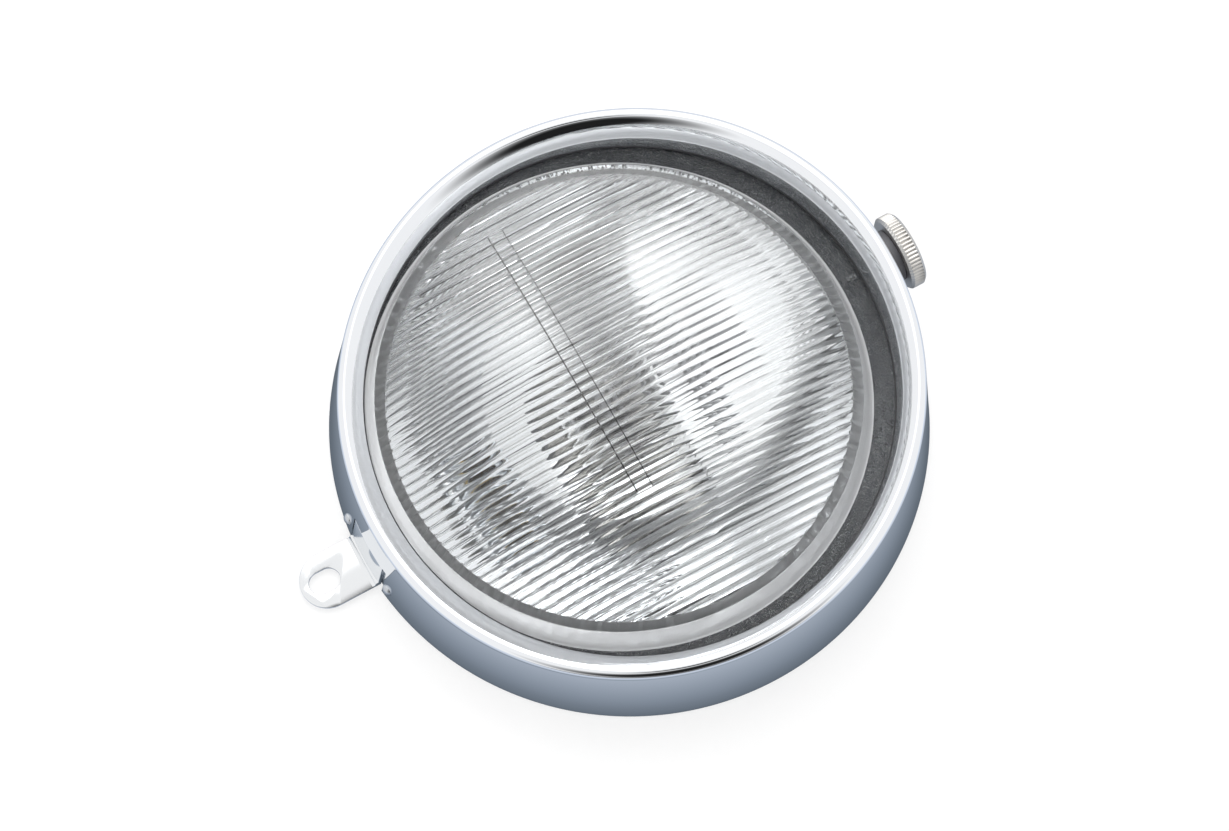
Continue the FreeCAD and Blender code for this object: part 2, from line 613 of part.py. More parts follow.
def make_thumb_nut():
    """The stud through the top of the ring, its rubber washer and the knurled nut."""
    shank_top = f"({NUT_UNDERSIDE} + nut_thickness - nut_chamfer)"
    floor = f"({FLANGE_RADIUS} + fit_gap * 4)"
    shank = radial_rod("stud_shank", "stud_radius", "nut_height", "0", shank_top, f"{shank_top} - {floor}")
    head_block = radial_rod("stud_head_block", "stud_head_radius", "nut_height", "0",
                            "seat_radius", f"seat_radius - {floor}")
    head = common("stud_head", head_block,
                  loft("stud_wall", "seat_radius - sheet", "0", f"{FRONT_RADIUS} - sheet"))
    finish("clamp_stud", fuse("clamp_stud", shank, head))

    washer_block = radial_rod("washer_block", "washer_radius", "nut_height", "0", WASHER_TOP, "6")
    washer_bore = radial_rod("washer_bore", "spigot_radius + fit_gap", "nut_height", "0", WASHER_TOP, "6")
    washer_wall = loft("washer_wall", "seat_radius + running_gap", "0", f"{FRONT_RADIUS} + running_gap")
    finish("nut_washer", cut("nut_washer", washer_block, fuse("washer_tools", washer_bore, washer_wall)))

    bore = "stud_radius + thread_clearance"
    head_back, head_front = NUT_UNDERSIDE, f"({NUT_UNDERSIDE} + nut_thickness)"
    body = turned_body("thumb_nut", [
        (bore, f"{head_back} - spigot_height"),
        ("spigot_radius", f"{head_back} - spigot_height"),
        ("spigot_radius", head_back),
        ("nut_radius - nut_chamfer", head_back),
        ("nut_radius", f"{head_back} + nut_chamfer"),
        ("nut_radius", f"{head_front} - nut_chamfer"),
        ("nut_radius - nut_chamfer", head_front),
        (f"{bore} + nut_chamfer", head_front),
        (bore, f"{head_front} - nut_chamfer"),
    ])
    half_pitch = "(nut_radius * sin(180 / knurl_count) * 0.75)"
    groove = outline(body, "groove_outline", "XY_Plane", [
        ("nut_radius - knurl_depth", "0"),
        ("nut_radius + 0.5", f"-{half_pitch}"),
        ("nut_radius + 0.5", half_pitch),
    ])
    groove.setExpression("AttachmentOffset.Base.z", bound(f"{head_front} + 1"))
    pocket = bind(feature(body, "Pocket", "groove", groove), Length="nut_thickness + 2")
    doc.recompute()
    knurl = body.newObject("PartDesign::PolarPattern", "knurl")
    knurl.Originals = [pocket]
    knurl.Axis = (plane_of(body, "Z_Axis"), [""])
    knurl.Angle = 360
    bind(knurl, Occurrences="knurl_count")
    body.Tip = knurl
    body.Label = "thumb_nut"
    # The nut's own axis points up out of the ring, so it stands upright instead of turning with the lamp.
    place(body, ("0", "-nut_height", "0"))
    sub_parts["thumb_nut"] = body


def sector(name, inner, outer, angle, height, start, middle):
    """A sector of a ring, centred on an angle about the bulb's axis."""
    wedge = cylinder(name + "_wedge", outer, height, ("0", "0", start))
    wedge.setExpression("Angle", bound(angle))
    wedge.Placement.Rotation = Rotation(Vector(0, 0, 1), middle - value(angle) / 2)
    return cut(name, wedge, cylinder(name + "_inside", inner, height, ("0", "0", start)))


def lock_angles():
    count = int(value("lock_count"))
    return [360 / count * index + 90 for index in range(count)]


def make_bulb_neck():
    """A short tube through the reflector, whose rear flange has notches for the holder's lugs."""
    tube_part = tube("neck_tube", "neck_radius", "neck_radius - thin_sheet", "neck_depth", ("0", "0", COLLAR_FRONT))
    flange = tube("neck_flange", "neck_radius + neck_flange_width", "neck_radius - thin_sheet", "thin_sheet",
                  ("0", "0", COLLAR_FRONT))
    notches = [
        sector(f"notch_{index}", "neck_radius + notch_play", "neck_radius + neck_flange_width + 1", "notch_angle",
               "thin_sheet + 2", f"{COLLAR_FRONT} - 1", middle + value("lock_angle"))
        for index, middle in enumerate(lock_angles())
    ]
    neck = cut("bulb_neck", fuse("neck_whole", tube_part, flange), fuse("notches", *notches))
    finish("bulb_neck", neck)
    lower(neck)


def make_holder():
    """Spun cap that locks on the neck's flange, with the spring-loaded contact plate inside."""
    lug_back = f"({COLLAR_FRONT} + thin_sheet + running_gap)"
    skirt_radius = "(neck_radius + neck_flange_width + 2)"
    skirt_inner = f"({skirt_radius} - thin_sheet)"
    body = turned_body("holder_shell", [
        (TUBE_RADIUS, HOLDER_FRONT),
        (skirt_inner, HOLDER_FRONT),
        (skirt_inner, f"{lug_back} + thin_sheet"),
        (skirt_radius, f"{lug_back} + thin_sheet"),
        (skirt_radius, f"{HOLDER_FRONT} - thin_sheet"),
        (f"{TUBE_RADIUS} + thin_sheet", f"{HOLDER_FRONT} - thin_sheet"),
        (f"{TUBE_RADIUS} + thin_sheet", f"{HOLDER_BACK} - thin_sheet"),
        ("rear_opening", f"{HOLDER_BACK} - thin_sheet"),
        ("rear_opening", HOLDER_BACK),
        (TUBE_RADIUS, HOLDER_BACK),
    ])
    lugs = [
        sector(f"lock_lug_{index}", "neck_radius + lug_play", f"{skirt_radius} - thin_sheet / 2", "lug_angle",
               "thin_sheet", lug_back, middle)
        for index, middle in enumerate(lock_angles())
    ]
    cap = fuse("socket_cap", body, *lugs)
    finish("socket_cap", cap)
    lower(cap)

    finish("contact_plate", cylinder("plate_disc", "plate_radius", "plate_thickness", ("0", "0", PLATE_BACK)))
    lower(sub_parts["contact_plate"])
    studs, blades = [], []
    for side in (-1, 1):
        x = f"{side} * pad_spacing / 2"
        studs.append(cylinder(f"stud_{side}", "pad_radius", "contact_height", (x, "0", PLATE_FRONT)))
        blades.append(box(f"blade_{side}", "blade_thickness", "blade_width", "blade_length",
                          (f"{x} - blade_thickness / 2", "-blade_width / 2", f"{PLATE_BACK} - blade_length")))
    finish("contact_studs", group("contact_studs", *studs))
    finish("terminal_blades", group("terminal_blades", *blades))
    lower(sub_parts["contact_studs"])
    lower(sub_parts["terminal_blades"])

    wire = value("spring_wire")
    coil_radius = value("plate_radius - 1") - wire
    length = value("spring_room") - 2 * wire - 0.2
    helix = Part.makeHelix(length / value("spring_turns"), length, coil_radius)
    start = Part.Wire([Part.makeCircle(wire, Vector(coil_radius, 0, 0), Vector(0, 1, 0))])
    spring = doc.addObject("Part::Feature", "contact_spring")
    spring.Shape = Part.Wire(helix).makePipeShell([start], True, True)
    spring.Shape = spring.Shape.translated(Vector(0, 0, value(HOLDER_BACK) + wire + 0.1))
    finish("contact_spring", spring)
    spring.Placement.Base.z = -value("lens_drop")


def make_bulb():
    """Twin-filament bulb on a locating collar."""
    collar = tube("bulb_collar", "neck_radius + collar_overlap", "base_radius + fit_gap", "thin_sheet", ("0", "0", COLLAR_BACK))
    base = tube("bulb_base", "base_radius", "base_radius - base_sheet", "base_length + thin_sheet + base_front",
                ("0", "0", BASE_BACK))
    insulator = cylinder("insulator_disc", "base_radius - base_sheet / 2", "insulator_thickness",
                         ("0", "0", f"{BASE_BACK} - insulator_thickness"))
    globe_centre = f"({FOCUS} + globe_lead)"
    stem_top = f"({globe_centre} - stem_drop)"
    wall, stem_foot = "bulb_glass_wall", f"({COLLAR_FRONT} - base_front)"
    inner_globe = "(globe_radius - bulb_glass_wall)"
    glass = turned_body("bulb_glass", [
        (f"stem_radius - {wall}", stem_foot),
        ("stem_radius", stem_foot),
        ("stem_radius", stem_top),
        ("globe_radius", globe_centre),
        ("0", f"{globe_centre} + globe_radius", "-globe_radius"),
        ("0", f"{globe_centre} + {inner_globe}"),
        (inner_globe, globe_centre, inner_globe),
        (f"stem_radius - {wall}", stem_top),
    ])
    pads, filaments, wires = [], [], []
    for side in (-1, 1):
        pads.append(cylinder(f"pad_{side}", "pad_radius", "pad_height", (f"{side} * pad_spacing / 2", "0", PAD_BACK)))
    for index, height in enumerate((FOCUS, f"{FOCUS} + filament_step")):
        lift = f"{index} * 3 * wire_radius"
        filaments.append(cylinder(f"filament_{index}", "filament_radius", "filament_length",
                                  ("-filament_length / 2", lift, height), ACROSS))
        for side in (-1, 1):
            x = f"{side} * (filament_length / 2 + wire_radius)"
            wires.append(cylinder(f"wire_{index}_{side}", "wire_radius", f"{height} + filament_radius - {BASE_BACK}",
                                  (x, lift, BASE_BACK)))
    post_y = "(-shield_radius * 0.8)"
    post_top = f"({FOCUS} + filament_step - shield_radius * 0.75)"
    wires.append(cylinder("shield_post", "wire_radius", f"{post_top} - {BASE_BACK}", ("0", post_y, BASE_BACK)))
    outer = cylinder("shield_outer", "shield_radius", "shield_length",
                     ("-shield_length / 2", "0", f"{FOCUS} + filament_step"), ACROSS)
    inner = cylinder("shield_inner", "shield_radius - base_sheet", "shield_length",
                     ("-shield_length / 2", "0", f"{FOCUS} + filament_step"), ACROSS)
    lower_half = box("shield_half", "shield_length", "shield_radius - filament_radius * 2", "2 * shield_radius",
                     ("-shield_length / 2", "-shield_radius", f"{FOCUS} + filament_step - shield_radius"))
    shield = common("dipping_shield", cut("shield_tube", outer, inner), lower_half)
    for node, piece in (
        ("bulb_collar", collar), ("bulb_base", base), ("bulb_insulator", insulator), ("bulb_glass", glass),
        ("bulb_contacts", group("bulb_contacts", *pads)), ("filaments", group("filaments", *filaments)),
        ("filament_supports", group("filament_supports", *wires)), ("dipping_shield", shield),
    ):
        finish(node, piece)
        lower(sub_parts[node])


def make_pilot():
    """Parking lamp: a push-in holder in a sleeve low in the bowl."""
    low = ("0", PILOT_Y)
    sleeve = tube("pilot_sleeve", "pilot_sleeve_radius", PILOT_BORE, "pilot_sleeve_front + pilot_sleeve_back",
                  (*low, PILOT_BACK))
    barrel_radius = f"({PILOT_BORE} - 2 * fit_gap)"
    barrel = cylinder("pilot_barrel", barrel_radius, "pilot_sleeve_back", (*low, PILOT_SEAT))
    flange = cylinder("pilot_flange_disc", "pilot_flange_radius", "pilot_flange",
                      (*low, f"{PILOT_SEAT} - pilot_flange"))
    bore = cylinder("pilot_bore", "pilot_base_radius", "pilot_sleeve_back + 1", (*low, PILOT_SEAT))
    finish("pilot_sleeve", sleeve)
    finish("pilot_holder", cut("pilot_holder", fuse("pilot_body", barrel, flange), bore))
    finish("pilot_base", cylinder("pilot_base", "pilot_base_radius", "pilot_base_length", (*low, PILOT_SEAT)))
    glass_back = f"({PILOT_SEAT} + pilot_base_length)"
    tip = f"({glass_back} + pilot_glass_length - pilot_glass_radius)"
    stem = cylinder("pilot_stem", "pilot_glass_radius", f"{tip} - {glass_back}", (*low, glass_back))
    finish("pilot_glass", fuse("pilot_glass", stem, sphere("pilot_tip", "pilot_glass_radius", (*low, tip))))
    finish("pilot_terminal", box("pilot_terminal", "blade_width", "blade_thickness", "blade_length * 0.7",
                                 ("-blade_width / 2", f"{PILOT_Y} - blade_thickness / 2",
                                  f"{PILOT_SEAT} - pilot_flange - blade_length * 0.7")))


def make_earth_tag():
    """Angled tag riveted to the back of the reflector rim, for the earth wire."""
    inner = "(aperture_radius + 4)"
    foot = box("tag_foot", "tag_foot_length", "blade_width", "blade_thickness",
               (inner, "-blade_width / 2", f"{RIM_BACK} - blade_thickness"))
    blade = box("tag_blade", "blade_thickness", "blade_width", "blade_length",
                (inner, "-blade_width / 2", f"{RIM_BACK} - blade_length"))
    hole_at = (f"{inner} + tag_hole_place", "0", f"{RIM_BACK} - blade_thickness - 1")
    finish("earth_tag", cut("earth_tag", fuse("tag_whole", foot, blade),
                            cylinder("tag_hole", "rivet_radius", "blade_thickness + 2", hole_at)))
    shank = cylinder("earth_shank", "rivet_radius", "blade_thickness",
                     (f"{inner} + tag_hole_place", "0", f"{RIM_BACK} - blade_thickness"))
    head = cylinder("earth_head", "rivet_head_radius", "tag_rivet_height",
                    (f"{inner} + tag_hole_place", "0", f"{RIM_BACK} - blade_thickness - tag_rivet_height"))
    finish("earth_rivet", fuse("earth_rivet", shank, head))


make_ring_and_tab()
make_lens()
make_seals()
make_reflector()
make_clips()
make_thumb_nut()
make_bulb_neck()
make_holder()
make_bulb()
make_pilot()
make_earth_tag()
doc.recompute()

for thing in doc.Objects:
    if any(state in thing.State for state in ("Invalid", "Error")):
        raise RuntimeError(f"{thing.Name} did not recompute: {thing.State}")
os.makedirs("parts", exist_ok=True)
for node, piece in sub_parts.items():
    shape = piece.Shape
    if shape.isNull() or not shape.isValid() or not shape.Solids:
        raise RuntimeError(f"{node} has no valid solid")
    print(f"{node}: {len(shape.Solids)} solid(s), {shape.Volume:.1f} mm3")
for node, piece in sub_parts.items():
    piece.Shape.exportStep(f"parts/{node}.step")
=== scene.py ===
"""Finished model of a round chrome headlamp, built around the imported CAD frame."""

import logging
import math
from dataclasses import dataclass, field
from enum import Enum
from typing import Callable, Iterable, Sequence

import bmesh
import bpy
from mathutils import Matrix, Vector


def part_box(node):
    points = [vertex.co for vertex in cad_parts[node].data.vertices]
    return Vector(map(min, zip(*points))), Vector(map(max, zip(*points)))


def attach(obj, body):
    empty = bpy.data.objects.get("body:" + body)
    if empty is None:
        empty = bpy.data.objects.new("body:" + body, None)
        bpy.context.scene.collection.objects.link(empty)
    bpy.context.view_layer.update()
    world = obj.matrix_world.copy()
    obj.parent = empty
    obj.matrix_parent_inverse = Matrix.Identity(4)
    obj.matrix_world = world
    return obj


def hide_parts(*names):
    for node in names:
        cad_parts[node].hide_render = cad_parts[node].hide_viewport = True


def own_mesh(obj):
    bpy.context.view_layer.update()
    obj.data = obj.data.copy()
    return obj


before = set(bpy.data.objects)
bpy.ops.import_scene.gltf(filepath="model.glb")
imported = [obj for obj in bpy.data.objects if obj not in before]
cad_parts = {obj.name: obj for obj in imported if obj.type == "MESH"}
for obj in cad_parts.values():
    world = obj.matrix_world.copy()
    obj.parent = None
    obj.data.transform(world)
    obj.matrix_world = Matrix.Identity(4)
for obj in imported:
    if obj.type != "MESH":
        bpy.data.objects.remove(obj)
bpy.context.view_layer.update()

logging.basicConfig(level=logging.INFO, format="%(message)s")
log = logging.getLogger("headlamp")

MM = 0.001
Point = tuple[float, float, float]
Profile = Sequence[tuple[float, float]]


# ------------------------------------------------------------------------------------------------------------
# Shader groups and finishes
# ------------------------------------------------------------------------------------------------------------


class Effect(Enum):
    """Surface effects that several finishes share, each one a shader node group."""

    WEAR = "surface_wear"
    STIPPLE = "pressed_stipple"


def new_socket(tree: bpy.types.NodeTree, name: str, side: str, kind: str, default: float | None = None) -> None:
    """Add one socket to a node group's interface.

    Args:
        tree: The group that gets the socket.
        name: Name of the socket.
        side: "INPUT" or "OUTPUT".
        kind: Socket type, such as "NodeSocketFloat".
        default: Starting value, where the socket has one.
    """
    socket = tree.interface.new_socket(name=name, in_out=side, socket_type=kind)
    if default is not None:
        socket.default_value = default


def wear_group() -> bpy.types.NodeTree:
    """Build the group that varies roughness with soft smears and gives a fine grain to bump.

    Returns:
        The node group, with outputs Roughness, Height and Mask.
    """
    tree = bpy.data.node_groups.new(Effect.WEAR.value, "ShaderNodeTree")
    new_socket(tree, "Vector", "INPUT", "NodeSocketVector")
    new_socket(tree, "Scale", "INPUT", "NodeSocketFloat", 60.0)
    new_socket(tree, "Grain Scale", "INPUT", "NodeSocketFloat", 900.0)
    new_socket(tree, "Smooth", "INPUT", "NodeSocketFloat", 0.05)
    new_socket(tree, "Rough", "INPUT", "NodeSocketFloat", 0.15)
    new_socket(tree, "Roughness", "OUTPUT", "NodeSocketFloat")
    new_socket(tree, "Height", "OUTPUT", "NodeSocketFloat")
    new_socket(tree, "Mask", "OUTPUT", "NodeSocketFloat")
    nodes, links = tree.nodes, tree.links
    given, result = nodes.new("NodeGroupInput"), nodes.new("NodeGroupOutput")
    smears = nodes.new("ShaderNodeTexNoise")
    smears.inputs["Detail"].default_value = 5.0
    links.new(given.outputs["Vector"], smears.inputs["Vector"])
    links.new(given.outputs["Scale"], smears.inputs["Scale"])
    spread = nodes.new("ShaderNodeMapRange")
    spread.inputs["From Min"].default_value = 0.38
    spread.inputs["From Max"].default_value = 0.68
    links.new(smears.outputs["Fac"], spread.inputs["Value"])
    links.new(given.outputs["Smooth"], spread.inputs["To Min"])
    links.new(given.outputs["Rough"], spread.inputs["To Max"])
    grain = nodes.new("ShaderNodeTexNoise")
    grain.inputs["Detail"].default_value = 3.0
    links.new(given.outputs["Vector"], grain.inputs["Vector"])
    links.new(given.outputs["Grain Scale"], grain.inputs["Scale"])
    links.new(spread.outputs["Result"], result.inputs["Roughness"])
    links.new(grain.outputs["Fac"], result.inputs["Height"])
    links.new(smears.outputs["Fac"], result.inputs["Mask"])
    return tree


def stipple_group() -> bpy.types.NodeTree:
    """Build the group for the small round dots that are pressed into glass and moulded into rubber.

    Returns:
        The node group, with outputs Height and Dots.
    """
    tree = bpy.data.node_groups.new(Effect.STIPPLE.value, "ShaderNodeTree")
    new_socket(tree, "Vector", "INPUT", "NodeSocketVector")
    new_socket(tree, "Scale", "INPUT", "NodeSocketFloat", 900.0)
    new_socket(tree, "Height", "OUTPUT", "NodeSocketFloat")
    new_socket(tree, "Dots", "OUTPUT", "NodeSocketFloat")
    nodes, links = tree.nodes, tree.links
    given, result = nodes.new("NodeGroupInput"), nodes.new("NodeGroupOutput")
    cells = nodes.new("ShaderNodeTexVoronoi")
    cells.inputs["Randomness"].default_value = 0.75
    links.new(given.outputs["Vector"], cells.inputs["Vector"])
    links.new(given.outputs["Scale"], cells.inputs["Scale"])
    dome = nodes.new("ShaderNodeMapRange")
    dome.interpolation_type = "SMOOTHSTEP"
    dome.inputs["From Min"].default_value = 0.1
    dome.inputs["From Max"].default_value = 0.55
    dome.inputs["To Min"].default_value = 1.0
    dome.inputs["To Max"].default_value = 0.0
    links.new(cells.outputs["Distance"], dome.inputs["Value"])
    links.new(dome.outputs["Result"], result.inputs["Height"])
    links.new(dome.outputs["Result"], result.inputs["Dots"])
    return tree


_groups: dict[Effect, bpy.types.NodeTree] = {}


def effect(kind: Effect) -> bpy.types.NodeTree:
    """Return a shared effect's node group, building it the first time.

    Args:
        kind: Which effect.

    Returns:
        Its node group.
    """
    if kind not in _groups:
        _groups[kind] = wear_group() if kind is Effect.WEAR else stipple_group()
    return _groups[kind]


def blank_material(name: str) -> tuple[bpy.types.Material, bpy.types.Node, bpy.types.Node]:
    """Start a node material.

    Args:
        name: Name of the material.

    Returns:
        The material, its Principled shader and its Texture Coordinate node.
    """
    material = bpy.data.materials.new(name)
    material.use_nodes = True
    nodes = material.node_tree.nodes
    place = nodes.new("ShaderNodeTexCoord")
    return material, nodes["Principled BSDF"], place


def add_wear(
    material: bpy.types.Material, place: bpy.types.Node, scale: float, grain: float, low: float, high: float
) -> bpy.types.Node:
    """Put the wear group into a material and feed the shader's roughness from it.

    Args:
        material: Material that gets the group.
        place: Its Texture Coordinate node.
        scale: Scale of the smears.
        grain: Scale of the grain.
        low: Roughness where the surface is cleanest.
        high: Roughness where it is dullest.

    Returns:
        The group node.
    """
    tree = material.node_tree
    wear = tree.nodes.new("ShaderNodeGroup")
    wear.node_tree = effect(Effect.WEAR)
    wear.inputs["Scale"].default_value = scale
    wear.inputs["Grain Scale"].default_value = grain
    wear.inputs["Smooth"].default_value = low
    wear.inputs["Rough"].default_value = high
    tree.links.new(place.outputs["Object"], wear.inputs["Vector"])
    tree.links.new(wear.outputs["Roughness"], tree.nodes["Principled BSDF"].inputs["Roughness"])
    return wear


def shader_maths(tree: bpy.types.NodeTree, operation: str,
                 *terms: bpy.types.NodeSocket | float) -> bpy.types.NodeSocket:
    """Add a Math node to a material.

    Args:
        tree: The material's tree.
        operation: What it works out.
        *terms: Its inputs, as values or sockets.

    Returns:
        Its output.
    """
    node = tree.nodes.new("ShaderNodeMath")
    node.operation = operation
    for number, term in enumerate(terms):
        if isinstance(term, bpy.types.NodeSocket):
            tree.links.new(term, node.inputs[number])
        else:
            node.inputs[number].default_value = term
    return node.outputs[0]


def mixed_shader(tree: bpy.types.NodeTree, share: bpy.types.NodeSocket | float, first: bpy.types.NodeSocket,
                 second: bpy.types.NodeSocket) -> bpy.types.NodeSocket:
    """Mix two shaders.

    Args:
        tree: The material's tree.
        share: How much of the second, as a value or a socket.
        first: The first shader.
        second: The second shader.

    Returns:
        The mixed shader.
    """
    mix = tree.nodes.new("ShaderNodeMixShader")
    if isinstance(share, bpy.types.NodeSocket):
        tree.links.new(share, mix.inputs[0])
    else:
        mix.inputs[0].default_value = share
    tree.links.new(first, mix.inputs[1])
    tree.links.new(second, mix.inputs[2])
    return mix.outputs[0]


def add_bump(material: bpy.types.Material, height: bpy.types.NodeSocket, strength: float,
             depth_mm: float) -> None:
    """Feed the shader's normal from a height through a Bump node.

    Args:
        material: Material that gets the bump.
        height: Output that gives the height.
        strength: Strength of the bump.
        depth_mm: Distance of the bump in millimetres.
    """
    tree = material.node_tree
    bump = tree.nodes.new("ShaderNodeBump")
    bump.inputs["Strength"].default_value = strength
    bump.inputs["Distance"].default_value = depth_mm * MM
    tree.links.new(height, bump.inputs["Height"])
    tree.links.new(bump.outputs["Normal"], tree.nodes["Principled BSDF"].inputs["Normal"])


@dataclass(frozen=True)
class MetalFinish:
    """A metal, from mirror chrome to dull cast zinc."""

    name: str
    colour: tuple[float, float, float]
    tint: tuple[float, float, float]
    smooth: float
    rough: float
    smear_scale: float = 45.0
    grain_scale: float = 1500.0
    grain_strength: float = 0.1
    grain_depth: float = 0.02

    def make(self) -> bpy.types.Material:
        """Build the material.

        Returns:
            The finished material.
        """
        material, shader, place = blank_material(self.name)
        tree = material.node_tree
        shader.inputs["Metallic"].default_value = 1.0
        wear = add_wear(material, place, self.smear_scale, self.grain_scale, self.smooth, self.rough)
        mix = tree.nodes.new("ShaderNodeMix")
        mix.data_type = "RGBA"
        mix.inputs[6].default_value = (*self.colour, 1.0)
        mix.inputs[7].default_value = (*self.tint, 1.0)
        tree.links.new(wear.outputs["Mask"], mix.inputs[0])
        tree.links.new(mix.outputs[2], shader.inputs["Base Color"])
        if self.grain_strength:
            add_bump(material, wear.outputs["Height"], self.grain_strength, self.grain_depth)
        return material


@dataclass(frozen=True)
class SolidFinish:
    """Rubber, phenolic or dark glass: an opaque material that isn't metal."""

    name: str
    colour: tuple[float, float, float]
    tint: tuple[float, float, float]
    smooth: float
    rough: float
    dots: float = 0.0
    dot_scale: float = 900.0

    def make(self) -> bpy.types.Material:
        """Build the material.

        Returns:
            The finished material.
        """
        material, shader, place = blank_material(self.name)
        tree = material.node_tree
        wear = add_wear(material, place, 120.0, 2500.0, self.smooth, self.rough)
        mix = tree.nodes.new("ShaderNodeMix")
        mix.data_type = "RGBA"
        mix.inputs[6].default_value = (*self.colour, 1.0)
        mix.inputs[7].default_value = (*self.tint, 1.0)
        tree.links.new(mix.outputs[2], shader.inputs["Base Color"])
        if self.dots:
            dots = tree.nodes.new("ShaderNodeGroup")
            dots.node_tree = effect(Effect.STIPPLE)
            dots.inputs["Scale"].default_value = self.dot_scale
            tree.links.new(place.outputs["Object"], dots.inputs["Vector"])
            tree.links.new(dots.outputs["Dots"], mix.inputs[0])
            add_bump(material, dots.outputs["Height"], self.dots, 0.3)
        else:
            tree.links.new(wear.outputs["Mask"], mix.inputs[0])
            add_bump(material, wear.outputs["Height"], 0.25, 0.05)
        return material


@dataclass(frozen=True)
class GlassFinish:
    """Clear, frosted or stippled glass."""

    name: str
    colour: tuple[float, float, float]
    smooth: float
    rough: float
    clear: float = 1.0
    ripple: float = 0.0
    ripple_scale: float = 220.0
    dots: float = 0.0
    dot_scale: float = 900.0

    def make(self) -> bpy.types.Material:
        """Build the material.

        Returns:
            The finished material.
        """
        material, shader, place = blank_material(self.name)
        tree = material.node_tree
        shader.inputs["Base Color"].default_value = (*self.colour, 1.0)
        shader.inputs["Transmission Weight"].default_value = self.clear
        shader.inputs["IOR"].default_value = 1.5
        wear = add_wear(material, place, 90.0, self.ripple_scale, self.smooth, self.rough)
        if self.dots:
            dots = tree.nodes.new("ShaderNodeGroup")
            dots.node_tree = effect(Effect.STIPPLE)
            dots.inputs["Scale"].default_value = self.dot_scale
            tree.links.new(place.outputs["Object"], dots.inputs["Vector"])
            add_bump(material, dots.outputs["Height"], self.dots, 0.35)
        elif self.ripple:
            add_bump(material, wear.outputs["Height"], self.ripple, 0.2)
        return material


class Finish(Enum):
    """Every finish on the lamp."""

    CHROME = MetalFinish(
        "trim_chrome", (0.93, 0.945, 0.965), (0.88, 0.9, 0.935), 0.015, 0.045, grain_strength=0.0,
    )
    TAB_CHROME = MetalFinish("tab_nickel", (0.92, 0.93, 0.94), (0.84, 0.86, 0.88), 0.08, 0.2)
    MIRROR = MetalFinish(
        "reflector_silver", (0.95, 0.955, 0.96), (0.9, 0.91, 0.925), 0.01, 0.05, grain_strength=0.0,
    )
    NICKEL = MetalFinish(
        "nut_nickel", (0.66, 0.64, 0.61), (0.5, 0.485, 0.46), 0.28, 0.48, 160.0, 2600.0, 0.35, 0.04,
    )
    ZINC = MetalFinish(
        "bright_zinc", (0.68, 0.7, 0.72), (0.55, 0.58, 0.62), 0.22, 0.42, 90.0, 1800.0, 0.25, 0.03,
    )
    SPRING = MetalFinish(
        "spring_steel", (0.5, 0.52, 0.55), (0.33, 0.35, 0.4), 0.2, 0.36, 110.0, 2200.0, 0.2, 0.03,
    )
    BRASS = MetalFinish(
        "bulb_brass", (0.78, 0.62, 0.33), (0.6, 0.45, 0.22), 0.16, 0.36, 140.0, 2000.0, 0.2, 0.03,
    )
    PLATED = MetalFinish(
        "bulb_cap_nickel", (0.4, 0.395, 0.38), (0.27, 0.265, 0.25), 0.2, 0.4, 140.0, 2000.0, 0.2, 0.03,
    )
    BURNISHED = MetalFinish("neck_dull_steel", (0.2, 0.205, 0.21), (0.11, 0.115, 0.12), 0.3, 0.5, 120.0)
    TUNGSTEN = MetalFinish("tungsten_wire", (0.42, 0.42, 0.44), (0.25, 0.25, 0.27), 0.25, 0.4)
    SOLDER = MetalFinish("tin_solder", (0.66, 0.66, 0.66), (0.5, 0.5, 0.5), 0.25, 0.5, 400.0)
    RUBBER = SolidFinish("black_rubber", (0.012, 0.012, 0.014), (0.045, 0.045, 0.05), 0.45, 0.7)
    GASKET = SolidFinish("gasket_rubber", (0.04, 0.043, 0.05), (0.6, 0.62, 0.65), 0.4, 0.6, 0.8, 1500.0)
    WASHER = SolidFinish("washer_fibre", (0.05, 0.05, 0.055), (0.12, 0.12, 0.13), 0.4, 0.6)
    PHENOLIC = SolidFinish("brown_phenolic", (0.16, 0.06, 0.025), (0.25, 0.11, 0.05), 0.3, 0.5)
    INSULATOR = SolidFinish("black_glass_bead", (0.01, 0.01, 0.012), (0.03, 0.03, 0.035), 0.08, 0.2)
    LENS = GlassFinish("lens_clear_glass", (0.985, 0.995, 1.0), 0.0, 0.03, 1.0, 0.05, 160.0)
    LENS_FROST = GlassFinish("lens_frosted_skirt", (0.95, 0.96, 0.97), 0.08, 0.25, 0.5, 0.3, 700.0)
    LENS_STIPPLE = GlassFinish(
        "lens_stippled_flange", (0.95, 0.97, 0.98), 0.04, 0.15, dots=1.0, dot_scale=1500.0,
    )
    BULB = GlassFinish("bulb_clear_glass", (0.99, 0.99, 0.985), 0.0, 0.02, 1.0, 0.04, 120.0)

    @property
    def material(self) -> bpy.types.Material:
        """The finish's material, built the first time it is asked for."""
        found = bpy.data.materials.get(self.value.name)
        return found or self.value.make()


# ------------------------------------------------------------------------------------------------------------
# Mesh helpers
# ------------------------------------------------------------------------------------------------------------


